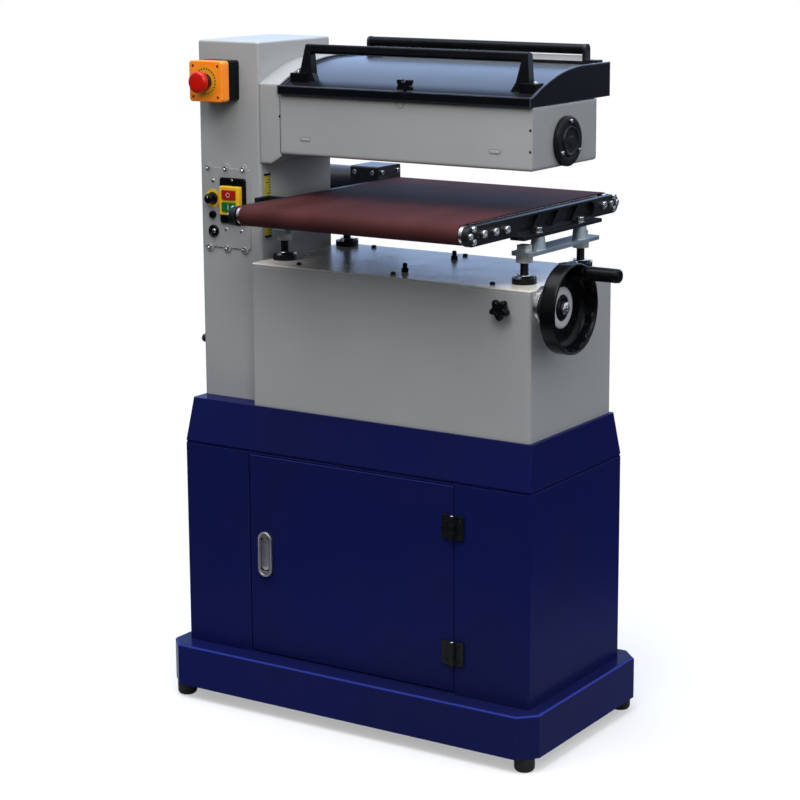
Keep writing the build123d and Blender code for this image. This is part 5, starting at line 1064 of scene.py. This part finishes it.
legend_tone = tint(cloud(legend_at, 150.0), (222, 158, 28), (206, 142, 22))
wire_up(legend_shader, Base_Color=tint(legend_mark, legend_tone, (58, 34, 10)))
new_piece("legend_ring", [carried(turned_circle, legend_profile, estop_at, FRONT)], legend, "frame")
mush_r = radius_of("estop_button")
mush_front = node_box("estop_button")[0][1]
mush_profile = soften([
    (-mushroom_stem_len, mushroom_stem_r), (0, mushroom_stem_r), (0, mush_r - 2), (1.5, mush_r),
    (mushroom_t - 3.5, mush_r - 0.3), (mushroom_t - 0.8, mush_r - 3.5), (mushroom_t, 6),
    (mushroom_t, 1)], 1.6)
mushroom_at = (estop_at[0], mush_front + mushroom_t, estop_at[2])
mushroom = carried(turned_circle, mush_profile, mushroom_at, FRONT)
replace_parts(new_piece("estop_mushroom_cap", [mushroom], signal_red, "estop_mushroom"), "estop_button")

# Height scale: a yellow rule with fine ticks on the column's right side, held between two black plastic
# end clips. The table's pointer reads against it.
scale_ups = (314, 430)
scale_behind = 20
scale_w = 18
scale_profile = [(0, 1), (1.2, 1), (1.2, 0.5)]
clip_profile = soften([(0, 1.5), (2.4, 1.5), (2.4, 0.5)], 0.8)
fine_tick = (0.005, 0.36)
fine_tick_from = 2
coarse_tick = (0.02, 0.1)
coarse_tick_from = -4
scale_y = column_low[1] + scale_behind
scale_ends = [column_low[2] + up for up in scale_ups]
rule, rule_shader, rule_at = new_finish("height_rule", Roughness=0.4)
rule_y = rule_at.axis("Y")
rule_z = rule_at.axis("Z")
rule_fine = dashes(rule_z, *fine_tick) * (rule_y > (scale_y + fine_tick_from) * MM)
rule_coarse = dashes(rule_z, *coarse_tick) * (rule_y > (scale_y + coarse_tick_from) * MM)
rule_tone = tint(cloud(rule_at, 120.0), (186, 172, 44), (166, 152, 34))
rule_mark = rule_fine.maths("MAXIMUM", rule_fine, rule_coarse)
wire_up(rule_shader, Base_Color=tint(rule_mark, rule_tone, (44, 40, 14)))
scale_shape = rounded(scale_w - 2, scale_ends[1] - scale_ends[0] - 2)
scale_at = (column_high[0], scale_y, sum(scale_ends) / 2)
new_piece("height_scale", [carried(scale_shape, scale_profile, scale_at, RIGHT)], rule, "frame")
clip_shape = rounded(scale_w - 2, 1)
clips = [carried(clip_shape, clip_profile, (column_high[0], scale_y, z), RIGHT) for z in scale_ends]
new_piece("scale_clips", clips, moulded_black, "frame")

# Floor: a plain white studio floor that keeps the machine's shadow. It fades out round the machine, so that
# it meets the white backdrop with no edge.
floor_half = 3.0
floor_fade = (0.6, 1.4)
floor_share = 0.6
floor_mesh = bpy.data.meshes.new("studio_floor")
floor_mesh.from_pydata([(-floor_half, -floor_half, 0), (floor_half, -floor_half, 0),
                        (floor_half, floor_half, 0), (-floor_half, floor_half, 0)], [], [(0, 1, 2, 3)])
floor = bpy.data.objects.new("studio_floor", floor_mesh)
bpy.context.scene.collection.objects.link(floor)
floor_white, floor_shader, floor_at = new_finish("floor_white", Roughness=0.9, Specular_IOR_Level=0.1)
floor_reach = floor_at.node("VectorMath", {"operation": "LENGTH"}, {0: floor_at}, out="Value")
wire_up(floor_shader, Base_Color=tint(cloud(floor_at, 2.0), (243.4, 243.4, 243.4), (247, 247, 247)),
        Alpha=ramp(floor_reach, *floor_fade, floor_share, 0.0))
floor_mesh.materials.append(floor_white)

# Backdrop and light: a white backdrop, which polished faces mirror as a cool wall, a broad soft light
# overhead, a weaker one in front and a small one near the head.
backdrop_way = (-0.52, 0.85, 0.0)
window_way = (0.95, 0.31, 0.0)
world = bpy.data.worlds.new("studio")
bpy.context.scene.world = world
world.use_nodes = True
sky = Wire(world.node_tree, world.node_tree.nodes.new("ShaderNodeTexCoord").outputs["Generated"])


def ray_is(kind):
    """1 for a ray of that kind."""
    return sky.node("LightPath", {}, {}, out="Is " + kind + " Ray")


def softbox(name, place, target, size, power, colour):
    """A square soft light at place, turned to target, of that size in metres and power in watts."""
    data = bpy.data.lights.new(name, "AREA")
    data.shape = "SQUARE"
    data.size = size
    data.energy = power
    data.color = colour
    light = bpy.data.objects.new(name, data)
    light.location = place
    light.rotation_mode = "QUATERNION"
    light.rotation_quaternion = (Vector(target) - Vector(place)).to_track_quat("-Z", "Y")
    bpy.context.scene.collection.objects.link(light)


sky_up = sky.axis("Z")
sky_back = sky.dot(backdrop_way)
seen = ray_is("Camera")
mirrored = ray_is("Glossy") + ray_is("Transmission")
backdrop = ramp(sky_back, 0.1, 0.9) * (mirrored * 1.15 + 0.2)
sky_room = ramp(sky_up, 0.0, 0.9, 0.15, 1.0) + ramp(sky.dot(window_way), 0.2, 1.0, 0.0, 0.85)
sky_level = (sky_room + backdrop) * ramp(sky_up, -0.04, 0.02, 0.06, 1.0)
sky_tone = tint(ramp(sky_back, 0.0, 0.8), (244, 246, 250), (182, 210, 255))
wire_up(world.node_tree.nodes["Background"], Color=tint(seen, sky_tone, (255, 255, 255)),
        Strength=sky_level * (1.0 - seen) + seen)
softbox("overhead_softbox", (-0.3, -0.7, 4.2), (0.0, 0.0, 0.6), 3.0, 125.0, (0.97, 0.98, 1.0))
softbox("front_softbox", (2.2, -2.7, 2.7), (0.0, 0.0, 0.8), 1.8, 12.0, (1.0, 0.985, 0.96))
softbox("head_softbox", (0.5, -1.05, 1.95), (0.0, -0.1, 1.1), 0.6, 9.0, (1.0, 0.985, 0.96))

# Camera: the photograph's own place, direction, focal length and centre, in metres and in pixels of an
# 800 by 800 frame.
eye = (2.1782, -3.4046, 1.5038)
gaze = (-0.5145, 0.8343, -0.198)
focal_px = 2211.4
centre_px = (456.97, 354.21)
frame_px = 800
camera_data = bpy.data.cameras.new("camera")
camera = bpy.data.objects.new("camera", camera_data)
bpy.context.scene.collection.objects.link(camera)
bpy.context.scene.camera = camera
camera.location = eye
camera.rotation_mode = "QUATERNION"
camera.rotation_quaternion = Vector(gaze).to_track_quat("-Z", "Y")
camera_data.lens = focal_px * camera_data.sensor_width / frame_px
camera_data.shift_x = (frame_px / 2 - centre_px[0]) / frame_px
camera_data.shift_y = (centre_px[1] - frame_px / 2) / frame_px
bpy.context.scene.view_settings.view_transform = "Standard"
